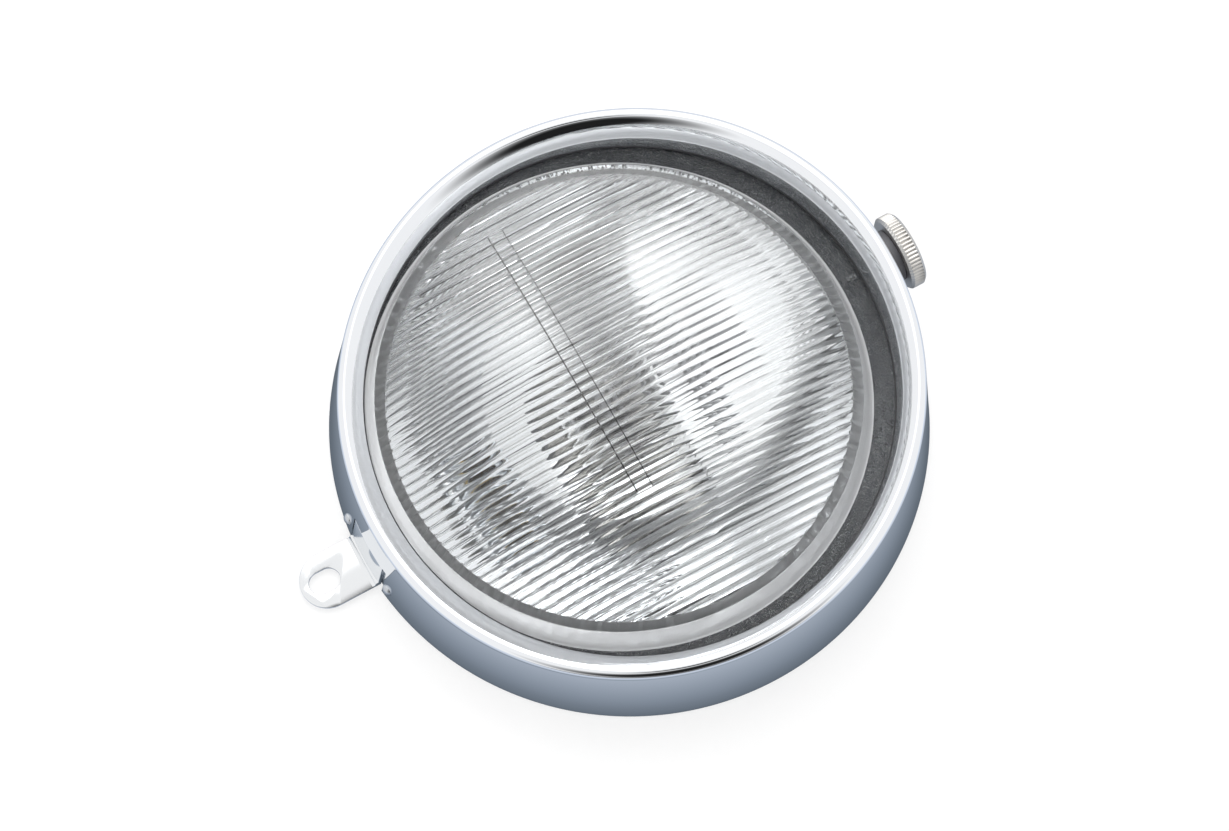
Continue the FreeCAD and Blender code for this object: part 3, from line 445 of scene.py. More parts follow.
def make_mesh(name: str, points: Iterable[Point], faces: Iterable[Sequence[int]]) -> bpy.types.Object:
    """Make an object from points in millimetres and merge doubled points.

    Args:
        name: Name of the object and its mesh.
        points: Corners in millimetres, in the lamp's frame.
        faces: Indices of each face's corners.

    Returns:
        The linked object, at the origin.
    """
    mesh = bpy.data.meshes.new(name)
    mesh.from_pydata([Vector(point) * MM for point in points], [], [list(face) for face in faces])
    work = bmesh.new()
    work.from_mesh(mesh)
    bmesh.ops.remove_doubles(work, verts=work.verts, dist=2e-6)
    bmesh.ops.dissolve_degenerate(work, edges=work.edges, dist=1e-7)
    bmesh.ops.recalc_face_normals(work, faces=work.faces)
    work.to_mesh(mesh)
    work.free()
    thing = bpy.data.objects.new(name, mesh)
    bpy.context.scene.collection.objects.link(thing)
    return thing


def smooth(thing: bpy.types.Object, degrees: float = 35.0) -> None:
    """Shade a piece smooth, with sharp edges where faces meet at more than an angle."""
    thing.data.shade_smooth()
    thing.data.set_sharp_from_angle(angle=math.radians(degrees))


def coat(thing: bpy.types.Object, finish: Finish) -> None:
    """Give a whole piece one finish."""
    thing.data.materials.clear()
    thing.data.materials.append(finish.material)


def baked(thing: bpy.types.Object) -> None:
    """Turn a piece's modifiers into plain mesh and remove them.

    Args:
        thing: The piece.
    """
    depsgraph = bpy.context.evaluated_depsgraph_get()
    depsgraph.update()
    result = bpy.data.meshes.new_from_object(thing.evaluated_get(depsgraph), depsgraph=depsgraph)
    thing.modifiers.clear()
    old = thing.data
    thing.data = result
    bpy.data.meshes.remove(old)


def carve(thing: bpy.types.Object, cutters: Sequence[bpy.types.Object]) -> None:
    """Cut closed shapes out of a piece and remove the cutters.

    Args:
        thing: The piece.
        cutters: The closed shapes to cut away.
    """
    for cutter in cutters:
        modifier = thing.modifiers.new("cut", "BOOLEAN")
        modifier.operation = "DIFFERENCE"
        modifier.solver = "EXACT"
        modifier.object = cutter
    baked(thing)
    for cutter in cutters:
        bpy.data.objects.remove(cutter)


def bevelled(thing: bpy.types.Object, width_mm: float, segments: int = 2, degrees: float = 30.0) -> None:
    """Round a piece's sharp edges and turn the result into plain mesh.

    Args:
        thing: The piece.
        width_mm: Width of the rounding.
        segments: Faces across the rounding.
        degrees: Edges sharper than this are rounded.
    """
    modifier = thing.modifiers.new("edges", "BEVEL")
    modifier.width = width_mm * MM
    modifier.segments = segments
    modifier.limit_method = "ANGLE"
    modifier.angle_limit = math.radians(degrees)
    modifier.use_clamp_overlap = True
    baked(thing)


def swept(name: str, rings: Sequence[Sequence[Point]], closed_ring: bool = True) -> bpy.types.Object:
    """Join rings of points into a skin that closes on itself after the last ring.

    Args:
        name: Name of the piece.
        rings: Rings of equally many points, in order round the piece.
        closed_ring: Whether each ring's last point joins its first.

    Returns:
        The piece.
    """
    count = len(rings[0])
    points = [point for ring in rings for point in ring]
    faces = []
    for number in range(len(rings)):
        following = (number + 1) % len(rings)
        for index in range(count if closed_ring else count - 1):
            after = (index + 1) % count
            faces.append((number * count + index, number * count + after, following * count + after,
                          following * count + index))
    return make_mesh(name, points, faces)


def turned(name: str, profile: Profile, centre_z: float = 0.0, steps: int = 96) -> bpy.types.Object:
    """Turn a closed profile about an axis that points forward out of the lamp.

    Args:
        name: Name of the piece.
        profile: Corners as radius and height ahead of the ring's rear edge, in millimetres.
        centre_z: Height of the axis above the ring's axis, in millimetres.
        steps: Steps round the axis.

    Returns:
        The piece.
    """
    rings = []
    for step in range(steps):
        angle = 2 * math.pi * step / steps
        across, up = math.cos(angle), math.sin(angle)
        rings.append([(radius * across, -height, centre_z + radius * up) for radius, height in profile])
    return swept(name, rings)


def arc(centre: tuple[float, float], radius: float, start: float, end: float,
        steps: int) -> list[tuple[float, float]]:
    """Points of an arc in a profile, with both ends.

    Args:
        centre: Centre of the arc.
        radius: Its radius.
        start: Where it starts, in degrees.
        end: Where it ends, in degrees.
        steps: How many pieces it is divided into.

    Returns:
        The points, from start to end.
    """
    points = []
    for step in range(steps + 1):
        angle = math.radians(start + (end - start) * step / steps)
        points.append((centre[0] + radius * math.cos(angle), centre[1] + radius * math.sin(angle)))
    return points


def reach(angle: float, offset: float, radius: float) -> float:
    """Distance from a centre to a circle that lies off it, along a direction.

    Args:
        angle: Direction in radians, from +X towards +Z.
        offset: Height of the circle's centre above this centre.
        radius: Radius of the circle.

    Returns:
        The distance, in the units given.
    """
    rise = offset * math.sin(angle)
    return rise + math.sqrt(rise**2 - offset**2 + radius**2)


def softened(node: str, edge_mm: float, name: str | None = None) -> bpy.types.Object:
    """Copy a CAD node with its triangles merged into faces and its edges rounded.

    Args:
        node: Node to copy, which the copy then replaces.
        edge_mm: Width of the rounded edges in millimetres.
        name: Name of the copy, or None for the node's name with "_finished".

    Returns:
        The copy, which still has to be coated and to ride.
    """
    copy = bpy.data.objects.new(name or f"{node}_finished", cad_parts[node].data.copy())
    bpy.context.scene.collection.objects.link(copy)
    work = bmesh.new()
    work.from_mesh(copy.data)
    bmesh.ops.remove_doubles(work, verts=work.verts, dist=1e-6)
    bmesh.ops.dissolve_limit(work, angle_limit=math.radians(0.6), verts=work.verts, edges=work.edges)
    work.to_mesh(copy.data)
    work.free()
    bevelled(copy, edge_mm)
    smooth(copy)
    return copy


# ------------------------------------------------------------------------------------------------------------
# Geometry Nodes trees
# ------------------------------------------------------------------------------------------------------------


class NodeBuild:
    """A Geometry Nodes modifier whose tree is built in the script, with named inputs."""

    def __init__(self, name: str, thing: bpy.types.Object) -> None:
        """Start a tree with a geometry input and output.

        Args:
            name: Name of the tree.
            thing: Object that gets the modifier.
        """
        self.thing = thing
        self.tree = bpy.data.node_groups.new(name, "GeometryNodeTree")
        self.tree.is_modifier = True
        self.tree.interface.new_socket(name="Geometry", in_out="INPUT", socket_type="NodeSocketGeometry")
        self.tree.interface.new_socket(name="Geometry", in_out="OUTPUT", socket_type="NodeSocketGeometry")
        self.values: dict[str, float] = {}
        self.identifiers: dict[str, str] = {}
        self.given = self.tree.nodes.new("NodeGroupInput")
        self.result = self.tree.nodes.new("NodeGroupOutput")

    def size(self, name: str, value: float, kind: str = "NodeSocketFloat") -> bpy.types.NodeSocket:
        """Add a named input.

        Args:
            name: Its name.
            value: The value that the modifier gets.
            kind: Its socket type.

        Returns:
            The socket that carries it.
        """
        socket = self.tree.interface.new_socket(name=name, in_out="INPUT", socket_type=kind)
        self.values[name] = value
        self.identifiers[name] = socket.identifier
        return self.given.outputs[name]

    def node(self, kind: str, **inputs: object) -> bpy.types.Node:
        """Add a node.

        Args:
            kind: Its type.
            **inputs: Values or sockets by input name, with spaces as underscores.

        Returns:
            The node.
        """
        node = self.tree.nodes.new(kind)
        for name, value in inputs.items():
            self.feed(node.inputs[name.replace("_", " ")], value)
        return node

    def feed(self, target: bpy.types.NodeSocket, value: object) -> None:
        """Link or set one input.

        Args:
            target: The input.
            value: A socket to link, or a value to set.
        """
        if isinstance(value, bpy.types.NodeSocket):
            self.tree.links.new(value, target)
        else:
            target.default_value = value

    def maths(self, operation: str, *terms: object) -> bpy.types.NodeSocket:
        """Add a Math node.

        Args:
            operation: What it works out.
            *terms: Its inputs, as values or sockets.

        Returns:
            Its output.
        """
        node = self.tree.nodes.new("ShaderNodeMath")
        node.operation = operation
        for number, term in enumerate(terms):
            self.feed(node.inputs[number], term)
        return node.outputs[0]

    def attribute(self, name: str) -> bpy.types.NodeSocket:
        """Read a point's stored number.

        Args:
            name: The attribute's name.

        Returns:
            The socket that carries it.
        """
        node = self.tree.nodes.new("GeometryNodeInputNamedAttribute")
        node.data_type = "FLOAT"
        node.inputs["Name"].default_value = name
        return node.outputs["Attribute"]

    def finish(self, geometry: bpy.types.NodeSocket, finish: "Finish | None" = None) -> None:
        """End the tree in Realize Instances, and Set Material where a finish is given, then bake it.

        Args:
            geometry: What the tree puts out.
            finish: Finish of the whole result, or None to keep each face's own.
        """
        real = self.node("GeometryNodeRealizeInstances", Geometry=geometry)
        last = real.outputs["Geometry"]
        if finish:
            dressed = self.node("GeometryNodeSetMaterial", Geometry=last)
            dressed.inputs["Material"].default_value = finish.material
            last = dressed.outputs["Geometry"]
        self.tree.links.new(last, self.result.inputs[0])
        modifier = self.thing.modifiers.new(self.tree.name, "NODES")
        modifier.node_group = self.tree
        for name, identifier in self.identifiers.items():
            modifier[identifier] = self.values[name]
        baked(self.thing)


def ring_of_copies(name: str, one: bpy.types.Object, count: int, finish: Finish) -> None:
    """Repeat a piece evenly round the lamp's axis.

    Args:
        name: Name of the tree.
        one: The piece, at its first place; it becomes the whole ring.
        count: How many there are.
        finish: Their finish.
    """
    build = NodeBuild(name, one)
    number = build.size("Count", count, "NodeSocketInt")
    points = build.node("GeometryNodePoints", Count=number)
    index = build.tree.nodes.new("GeometryNodeInputIndex").outputs[0]
    step = build.maths("DIVIDE", 2 * math.pi, number)
    turn = build.node("ShaderNodeCombineXYZ", Y=build.maths("MULTIPLY", index, step))
    copies = build.node("GeometryNodeInstanceOnPoints", Points=points.outputs[0],
                        Instance=build.given.outputs["Geometry"])
    build.feed(copies.inputs["Rotation"], turn.outputs[0])
    build.finish(copies.outputs[0], finish)


@dataclass
class Coil:
    """A wire wound round a straight line along Y or X."""

    radius: float
    wire: float
    length: float
    turns: float
    centre: Point
    along: str

    def build(self, name: str, finish: Finish) -> bpy.types.Object:
        """Build the coil from a spiral that a round section follows.

        Args:
            name: Name of the piece.
            finish: Its finish.

        Returns:
            The piece as a plain mesh.
        """
        thing = make_mesh(name, [], [])
        build = NodeBuild(f"{name}_winding", thing)
        radius = build.size("Radius", self.radius * MM)
        spiral = build.node("GeometryNodeCurveSpiral", Resolution=18, Rotations=build.size("Turns", self.turns),
                            Start_Radius=radius, End_Radius=radius,
                            Height=build.size("Length", self.length * MM))
        section = build.node("GeometryNodeCurvePrimitiveCircle", Radius=build.size("Wire", self.wire * MM))
        section.inputs["Resolution"].default_value = 8
        wire = build.node("GeometryNodeCurveToMesh", Curve=spiral.outputs[0], Profile_Curve=section.outputs[0])
        wire.inputs["Fill Caps"].default_value = True
        start = Vector((0.0, 0.0, -self.length / 2 * MM))
        shift = build.node("GeometryNodeTransform", Geometry=wire.outputs[0], Translation=start)
        angles = (math.pi / 2, 0.0, 0.0) if self.along == "Y" else (0.0, math.pi / 2, 0.0)
        place = build.node("GeometryNodeTransform", Geometry=shift.outputs[0], Rotation=angles,
                           Translation=Vector(self.centre) * MM)
        build.finish(place.outputs[0], finish)
        work = bmesh.new()
        work.from_mesh(thing.data)
        bmesh.ops.remove_doubles(work, verts=work.verts, dist=1e-6)
        bmesh.ops.recalc_face_normals(work, faces=work.faces)
        work.to_mesh(thing.data)
        work.free()
        smooth(thing, 60.0)
        return thing


# ------------------------------------------------------------------------------------------------------------
# Sub-assemblies
# ------------------------------------------------------------------------------------------------------------


def settle(thing: bpy.types.Object, body: str, slot: str, *nodes: str) -> bpy.types.Object:
    """Let a finished piece ride on a body and stand for CAD nodes.

    Args:
        thing: The piece.
        body: Body that it moves with.
        slot: The record's material slot; not used.
        nodes: CAD nodes that it stands for.

    Returns:
        The piece.
    """
    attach(thing, body)
    if nodes:
        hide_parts(*nodes)
    log.info("%s: %d faces, on %s", thing.name, len(thing.data.polygons), body)
    return thing


@dataclass
class TrimRing:
    """The chrome ring: a thin wall that narrows to a rolled bead, and turns back in to the glass."""

    seat_radius: float = 80.0
    sheet: float = 1.0
    bead_radius: float = 74.1
    bead_wire: float = 1.9
    bead_height: float = 30.0
    lean: float = math.radians(4.5)
    throat_radius: float = 69.0
    throat_height: float = 23.5
    bead_turn: float = math.radians(120.0)
    pull_out: float = 0.3
    pull_back: float = 0.57
    wall_steps: int = 12
    steps: int = 400
    window: tuple[float, float, float] = (-7.9, 9.2, 13.8)

    def leaning(self, angle: float, radius: float, ahead: float) -> Point:
        """Place a point in the bead's leaning plane.

        Args:
            angle: Where it is round the ring.
            radius: How far out it is.
            ahead: How far it stands ahead of the plane.

        Returns:
            The point, in millimetres.
        """
        out, up = math.cos(angle), math.sin(angle)
        sink, rise = math.sin(self.lean), math.cos(self.lean)
        return (radius * out, -self.bead_height - radius * up * sink - ahead * rise,
                radius * up * rise - ahead * sink)

    def section(self, angle: float) -> list[Point]:
        """The closed section of the sheet at one angle round the ring.

        Args:
            angle: Where the section is taken.

        Returns:
            Its points, in millimetres.
        """
        out, up = math.cos(angle), math.sin(angle)

        def level(radius: float, height: float) -> Vector:
            """A point about the ring's own axis."""
            return Vector((radius * out, -height, radius * up))

        outer, inner = self.seat_radius, self.seat_radius - self.sheet
        loop = [level(outer, 0.15), level(outer, 0.5)]
        top = Vector(self.leaning(angle, self.bead_radius + self.bead_wire, 0.0))
        for share in (0.04, 0.2, 0.4, 0.6, 0.8, 0.93, 0.98):
            loop.append(level(outer, 0.15).lerp(top, share))
        for step in range(25):
            turn = self.bead_turn * step / 24
            loop.append(Vector(self.leaning(angle, self.bead_radius + self.bead_wire * math.cos(turn),
                                            self.bead_wire * math.sin(turn))))
        foot = level(self.throat_radius, self.throat_height)
        lip, pull = loop[-1], Vector(self.leaning(angle, self.throat_radius + self.pull_out, -self.pull_back))
        for step in range(1, self.wall_steps + 1):
            share = step / self.wall_steps
            loop.append(lip.lerp(pull, share).lerp(pull.lerp(foot, share), share))
        back = level(self.throat_radius + self.sheet, self.throat_height)
        loop.append(back)
        thin = self.bead_wire - self.sheet
        inside = Vector(self.leaning(angle, self.bead_radius - thin, 0.0))
        loop.append(back.lerp(inside, 0.9))
        for step in range(7):
            turn = self.bead_turn * (1 - step / 6)
            loop.append(Vector(self.leaning(angle, self.bead_radius + thin * math.cos(turn),
                                            thin * math.sin(turn))))
        rear = level(inner, 0.0)
        for share in (0.1, 0.5, 0.95, 1.0):
            loop.append(loop[-1].lerp(rear, share) if share < 1 else rear)
        loop.append(level(outer - 0.15, 0.0))
        return [tuple(point) for point in loop]

    def build(self) -> None:
        """Build the ring, cut the window for the tab and dress it in chrome."""
        ring = swept("trim_ring_finished",
                     [self.section(2 * math.pi * n / self.steps) for n in range(self.steps)])
        low, high, top = self.window
        floor, roof = -self.seat_radius - 6.0, -self.seat_radius + 8.0
        corners = [(x, y, z) for x in (low, high) for y in (4.0, -top) for z in (floor, roof)]
        faces = [(0, 1, 3, 2), (4, 6, 7, 5), (0, 4, 5, 1), (2, 3, 7, 6), (0, 2, 6, 4), (1, 5, 7, 3)]
        carve(ring, [make_mesh("window_cutter", corners, faces)])
        smooth(ring, 28.0)
        coat(ring, Finish.CHROME)
        settle(ring, "ring", "chrome", "trim_ring")


@dataclass
class Lens:
    """The pressed glass: a fluted dome on a frosted skirt, with a stippled flange."""

    axis_drop: float = -3.2
    flange_radius: float = 74.4
    flange_back: float = 20.0
    flange_front: float = 23.0
    skirt_radius: float = 65.5
    disc_radius: float = 62.8
    disc_height: float = 31.0
    dome_radius: float = 205.0
    dome_centre: float = -164.14
    glass: float = 3.0
    inner_disc: float = 59.8
    inner_foot: float = 62.5
    flute_pitch: float = 2.5
    flute_depth: float = 0.42
    rib_depth: float = 0.8
    band_depth: float = 0.45
    band: tuple[float, float] = (-9.5, -5.5)
    band_reach: tuple[float, float] = (-53.0, 27.0)
    nib_size: Point = (1.2, 1.1, 3.0)
    nib_reach: float = 66.5

    def columns(self) -> list[float]:
        """Places of the columns across the disc.

        Returns:
            Shares of the disc's radius, from -1 to 1.
        """
        step = self.flute_pitch / 8 / self.inner_disc
        inside = [k * step for k in range(-int(0.86 / step), int(0.86 / step) + 1)]
        edge = inside[-1]
        turns = [math.sin(math.radians(turn / 2)) for turn in range(0, 181)]
        outer = [share for share in turns if share > edge + step / 2]
        return [-share for share in reversed(outer)] + inside + outer

    def rows(self, half: float) -> list[float]:
        """Places of the rows along one column of the disc.

        Args:
            half: Half the column's length.

        Returns:
            Places from -half to half.
        """
        low, high = self.band
        marks = [low - 0.25, low + 0.05, high - 0.05, high + 0.25]
        scale = 1.0 if half > 14.0 else half / self.inner_disc
        reach = half / scale
        bottom = [-reach + (marks[0] + reach) * n / 11 for n in range(11)]
        top = [marks[3] + (reach - marks[3]) * n / 15 for n in range(1, 16)]
        return [value * scale for value in bottom + marks[:2] + [(low + high) / 2] + marks[2:] + top]

    def dome_height(self, distance: float, radius: float) -> float:
        """Height of one of the dome's faces at a distance from the lens axis."""
        return self.dome_centre + math.sqrt(radius**2 - distance**2)

    def build(self) -> None:
        """Build the lens as one closed shell, press its flutes and dress its zones."""
        shares = self.columns()
        count = len(shares)
        angles = [math.acos(share) for share in shares]
        around = angles + [-angle for angle in reversed(angles[1:-1])]
        points: list[Point] = []
        faces: list[tuple[int, ...]] = []
        zones: list[int] = []

        def ring(radius: float, height: float, centre: float) -> list[int]:
            """Add a ring of points about the lens axis, or about a circle off it.

            Args:
                radius: Its radius.
                height: Its height.
                centre: The height of the circle's middle.

            Returns:
                The points' numbers.
            """
            start = len(points)
            for angle in around:
                reached = radius if centre == self.axis_drop else reach(angle, -self.axis_drop, radius)
                points.append((reached * math.cos(angle), -height, self.axis_drop + reached * math.sin(angle)))
            return list(range(start, len(points)))

        def join(first: list[int], second: list[int], zone: int) -> None:
            """Join two rings with faces.

            Args:
                first: The first ring's points.
                second: The second ring's points.
                zone: The zone that the faces belong to.
            """
            for n in range(len(first)):
                after = (n + 1) % len(first)
                faces.append((first[n], first[after], second[after], second[n]))
                zones.append(zone)

        inner_height = self.dome_height(self.inner_disc, self.dome_radius - self.glass)
        last = ring(self.inner_disc, inner_height, self.axis_drop)
        grid_edge = last
        for radius, height, centre, zone in (
            (self.inner_disc + 0.25, 28.2, self.axis_drop, 1),
            (61.2, 24.5, self.axis_drop, 1),
            (self.inner_foot, self.flange_back, self.axis_drop, 1),
            (self.flange_radius - 4, self.flange_back, 0.0, 2),
            (self.flange_radius - 0.4, self.flange_back, 0.0, 2),
            (self.flange_radius, self.flange_back + 0.4, 0.0, 2),
            (self.flange_radius, self.flange_front - 0.4, 0.0, 2),
            (self.flange_radius - 0.4, self.flange_front, 0.0, 2),
            (self.flange_radius - 4, self.flange_front, 0.0, 2),
            (self.skirt_radius + 0.6, self.flange_front, self.axis_drop, 2),
            (self.skirt_radius, self.flange_front + 0.5, self.axis_drop, 1),
            (64.4, 26.3, self.axis_drop, 1),
            (self.disc_radius + 0.2, self.disc_height - 0.7, self.axis_drop, 1),
            (self.disc_radius, self.disc_height - 0.15, self.axis_drop, 1),
            (self.disc_radius - 0.5, self.dome_height(self.disc_radius - 0.5, self.dome_radius),
             self.axis_drop, 0),
        ):
            fresh = ring(radius, height, centre)
            join(last, fresh, zone)
            last = fresh
        for share in (0.98, 0.9, 0.78, 0.64, 0.48, 0.32, 0.16, 0.04):
            radius = (self.disc_radius - 0.5) * share
            fresh = ring(radius, self.dome_height(radius, self.dome_radius), self.axis_drop)
            join(last, fresh, 0)
            last = fresh
        points.append((0.0, -self.dome_height(0.0, self.dome_radius), self.axis_drop))
        for n in range(len(last)):
            faces.append((last[n], last[(n + 1) % len(last)], len(points) - 1))
            zones.append(0)
        inner_start = len(points)
        grid: list[list[int]] = []
        for column, share in enumerate(shares):
            across = share * self.inner_disc
            half = math.sqrt(max(self.inner_disc**2 - across**2, 0.0))
            if column in (0, count - 1):
                grid.append([grid_edge[column]] * 31)
                continue
            above, below = grid_edge[column], grid_edge[len(around) - column]
            line = [below]
            for place in self.rows(half)[1:-1]:
                height = self.dome_height(math.hypot(across, place), self.dome_radius - self.glass)
                points.append((across, -height, self.axis_drop + place))
                line.append(len(points) - 1)
            grid.append(line + [above])
        for first, second in zip(grid, grid[1:]):
            for row in range(len(first) - 1):
                corners = [first[row], second[row], second[row + 1], first[row + 1]]
                faces.append(tuple(dict.fromkeys(corners)))
                zones.append(0)
        keep = [(face, zone) for face, zone in zip(faces, zones) if len(face) > 2]
        mesh = bpy.data.meshes.new("lens_finished")
        mesh.from_pydata([Vector(point) * MM for point in points], [], [face for face, _ in keep])
        mesh.polygons.foreach_set("material_index", [zone for _, zone in keep])
        mark = mesh.attributes.new("pressed", "FLOAT", "POINT")
        mark.data.foreach_set("value", [1.0 if n >= inner_start else 0.0 for n in range(len(points))])
        ribbed = mesh.attributes.new("ribbed", "FLOAT", "POINT")
        ribbed.data.foreach_set("value", [1.0 if len(around) <= n < 3 * len(around) else 0.0
                                          for n in range(len(points))])
        for finish in (Finish.LENS, Finish.LENS_FROST, Finish.LENS_STIPPLE):
            mesh.materials.append(finish.material)
        work = bmesh.new()
        work.from_mesh(mesh)
        bmesh.ops.recalc_face_normals(work, faces=work.faces)
        work.to_mesh(mesh)
        work.free()
        lens = bpy.data.objects.new("lens_finished", mesh)
        bpy.context.scene.collection.objects.link(lens)
        self.press(lens)
        self.nib(lens)
        smooth(lens, 40.0)
        settle(lens, "ring", "lens_glass", "lens")

    def press(self, lens: bpy.types.Object) -> None:
        """Press the flutes and the band into the inner face with Geometry Nodes.

        Args:
            lens: The lens.
        """
        build = NodeBuild("lens_flutes", lens)
        pitch = build.size("Pitch", self.flute_pitch * MM)
        depth = build.size("Depth", self.flute_depth * MM)
        band_depth = build.size("Band Depth", self.band_depth * MM)
        spot = build.node("ShaderNodeSeparateXYZ")
        build.feed(spot.inputs[0], build.tree.nodes.new("GeometryNodeInputPosition").outputs[0])
        turn = build.maths("MULTIPLY", build.maths("DIVIDE", spot.outputs[0], pitch), math.pi)
        wave = build.maths("ABSOLUTE", build.maths("SINE", turn))
        rib = build.maths("MULTIPLY", build.maths("SUBTRACT", wave, 1.0), depth)
        height = build.maths("SUBTRACT", spot.outputs[2], self.axis_drop * MM)
        inside: object = 1.0
        for value, low, high in ((height, *self.band), (spot.outputs[0], *self.band_reach)):
            inside = build.maths("MULTIPLY", inside, build.maths("GREATER_THAN", value, low * MM))
            inside = build.maths("MULTIPLY", inside, build.maths("LESS_THAN", value, high * MM))
        total = build.maths("SUBTRACT", rib, build.maths("MULTIPLY", inside, band_depth))
        flat = build.node("ShaderNodeCombineXYZ", X=spot.outputs[0], Z=height)
        inward = build.tree.nodes.new("ShaderNodeVectorMath")
        inward.operation = "NORMALIZE"
        build.feed(inward.inputs[0], flat.outputs[0])
        ribs = build.maths("MULTIPLY", build.maths("SUBTRACT", wave, 1.0),
                           build.size("Rib Depth", self.rib_depth * MM))
        radial = build.tree.nodes.new("ShaderNodeVectorMath")
        radial.operation = "SCALE"
        build.feed(radial.inputs[0], inward.outputs[0])
        build.feed(radial.inputs["Scale"], build.maths("MULTIPLY", ribs, build.attribute("ribbed")))
        ahead = build.node("ShaderNodeCombineXYZ", Y=build.maths("MULTIPLY", total, build.attribute("pressed")))
        shift = build.tree.nodes.new("ShaderNodeVectorMath")
        build.feed(shift.inputs[0], radial.outputs[0])
        build.feed(shift.inputs[1], ahead.outputs[0])
        moved = build.node("GeometryNodeSetPosition", Geometry=build.given.outputs["Geometry"])
        build.feed(moved.inputs["Offset"], shift.outputs[0])
        build.finish(moved.outputs[0])
        for name in ("pressed", "ribbed"):
            if name in lens.data.attributes:
                lens.data.attributes.remove(lens.data.attributes[name])

    def nib(self, lens: bpy.types.Object) -> None:
        """Add the small locating nib that stands on the flange at the top.

        Args:
            lens: The lens.
        """
        work = bmesh.new()
        work.from_mesh(lens.data)
        made = bmesh.ops.create_cube(work, size=1.0)["verts"]
        bmesh.ops.scale(work, vec=Vector(self.nib_size) * MM, verts=made)
        bmesh.ops.translate(work, vec=Vector((0.0, -self.flange_front - 0.1, self.nib_reach)) * MM, verts=made)
        edges = list({edge for vert in made for edge in vert.link_edges})
        sides = {face for vert in made for face in vert.link_faces}
        for face in sides:
            face.material_index = 2
        bmesh.ops.bevel(work, geom=edges, offset=0.25 * MM, segments=2, affect="EDGES", profile=0.5)
        work.to_mesh(lens.data)
        work.free()


@dataclass
class Reflector:
    """The silvered bowl behind the lens, with holes for the bulb and the pilot lamp."""

    axis_drop: float = -3.2
    focal: float = 26.0
    vertex: float = -20.88
    neck_hole: float = 18.55
    mouth: float = 64.0
    rim_front: float = 18.5
    rim_radius: float = 74.2
    sheet: float = 1.0
    bowl_sheet: float = 1.2
    pilot_drop: float = -41.2
    pilot_hole: float = 8.05
    steps: int = 240

    def depth(self, radius: float) -> float:
        """Height of the bowl's silvered face at a distance from its axis."""
        return self.vertex + radius**2 / (4 * self.focal)

    def build(self) -> None:
        """Build the bowl and its rim, and cut the hole for the pilot lamp."""
        face = [self.neck_hole + (self.mouth - self.neck_hole) * n / 30 for n in range(31)]
        rings: list[list[Point]] = []
        zones: list[int] = []

        def ring(radius: float, height: float, level: bool, zone: int) -> None:
            """Add a ring about the bowl's axis, or a level one about the trim ring's axis.

            Args:
                radius: Its radius.
                height: Its height.
                level: Whether it lies about the trim ring's axis.
                zone: The zone that its faces belong to.
            """
            line = []
            for n in range(self.steps):
                angle = 2 * math.pi * n / self.steps
                reached = reach(angle, -self.axis_drop, radius) if level else radius
                line.append((reached * math.cos(angle), -height, self.axis_drop + reached * math.sin(angle)))
            rings.append(line)
            zones.append(zone)

        for radius in face:
            ring(radius, self.depth(radius), False, 0)
        for radius, height in ((self.rim_radius - 0.3, self.rim_front), (self.rim_radius, self.rim_front - 0.3),
                               (self.rim_radius, self.rim_front - 0.7),
                               (self.rim_radius - 0.3, self.rim_front - 1.0)):
            ring(radius, height, True, 1)
        for radius in reversed(face):
            height = min(self.depth(radius) - self.bowl_sheet, self.rim_front - self.sheet)
            ring(radius, height, False, 1)
        bowl = swept("reflector_finished", rings)
        hole = turned("pilot_cutter",
                      [(0.0, -30.0), (self.pilot_hole, -30.0), (self.pilot_hole, 20.0), (0.0, 20.0)],
                      self.pilot_drop, 64)
        carve(bowl, [hole])
        bowl.data.materials.clear()
        bowl.data.materials.append(Finish.MIRROR.material)
        bowl.data.materials.append(Finish.ZINC.material)
        for polygon in bowl.data.polygons:
            spot = polygon.center / MM
            radius = math.hypot(spot.x, spot.z - self.axis_drop)
            silvered = radius < self.mouth and -spot.y > self.depth(radius) - 0.3
            polygon.material_index = 0 if silvered else 1
        smooth(bowl, 30.0)
        settle(bowl, "ring", "mirror", "reflector")


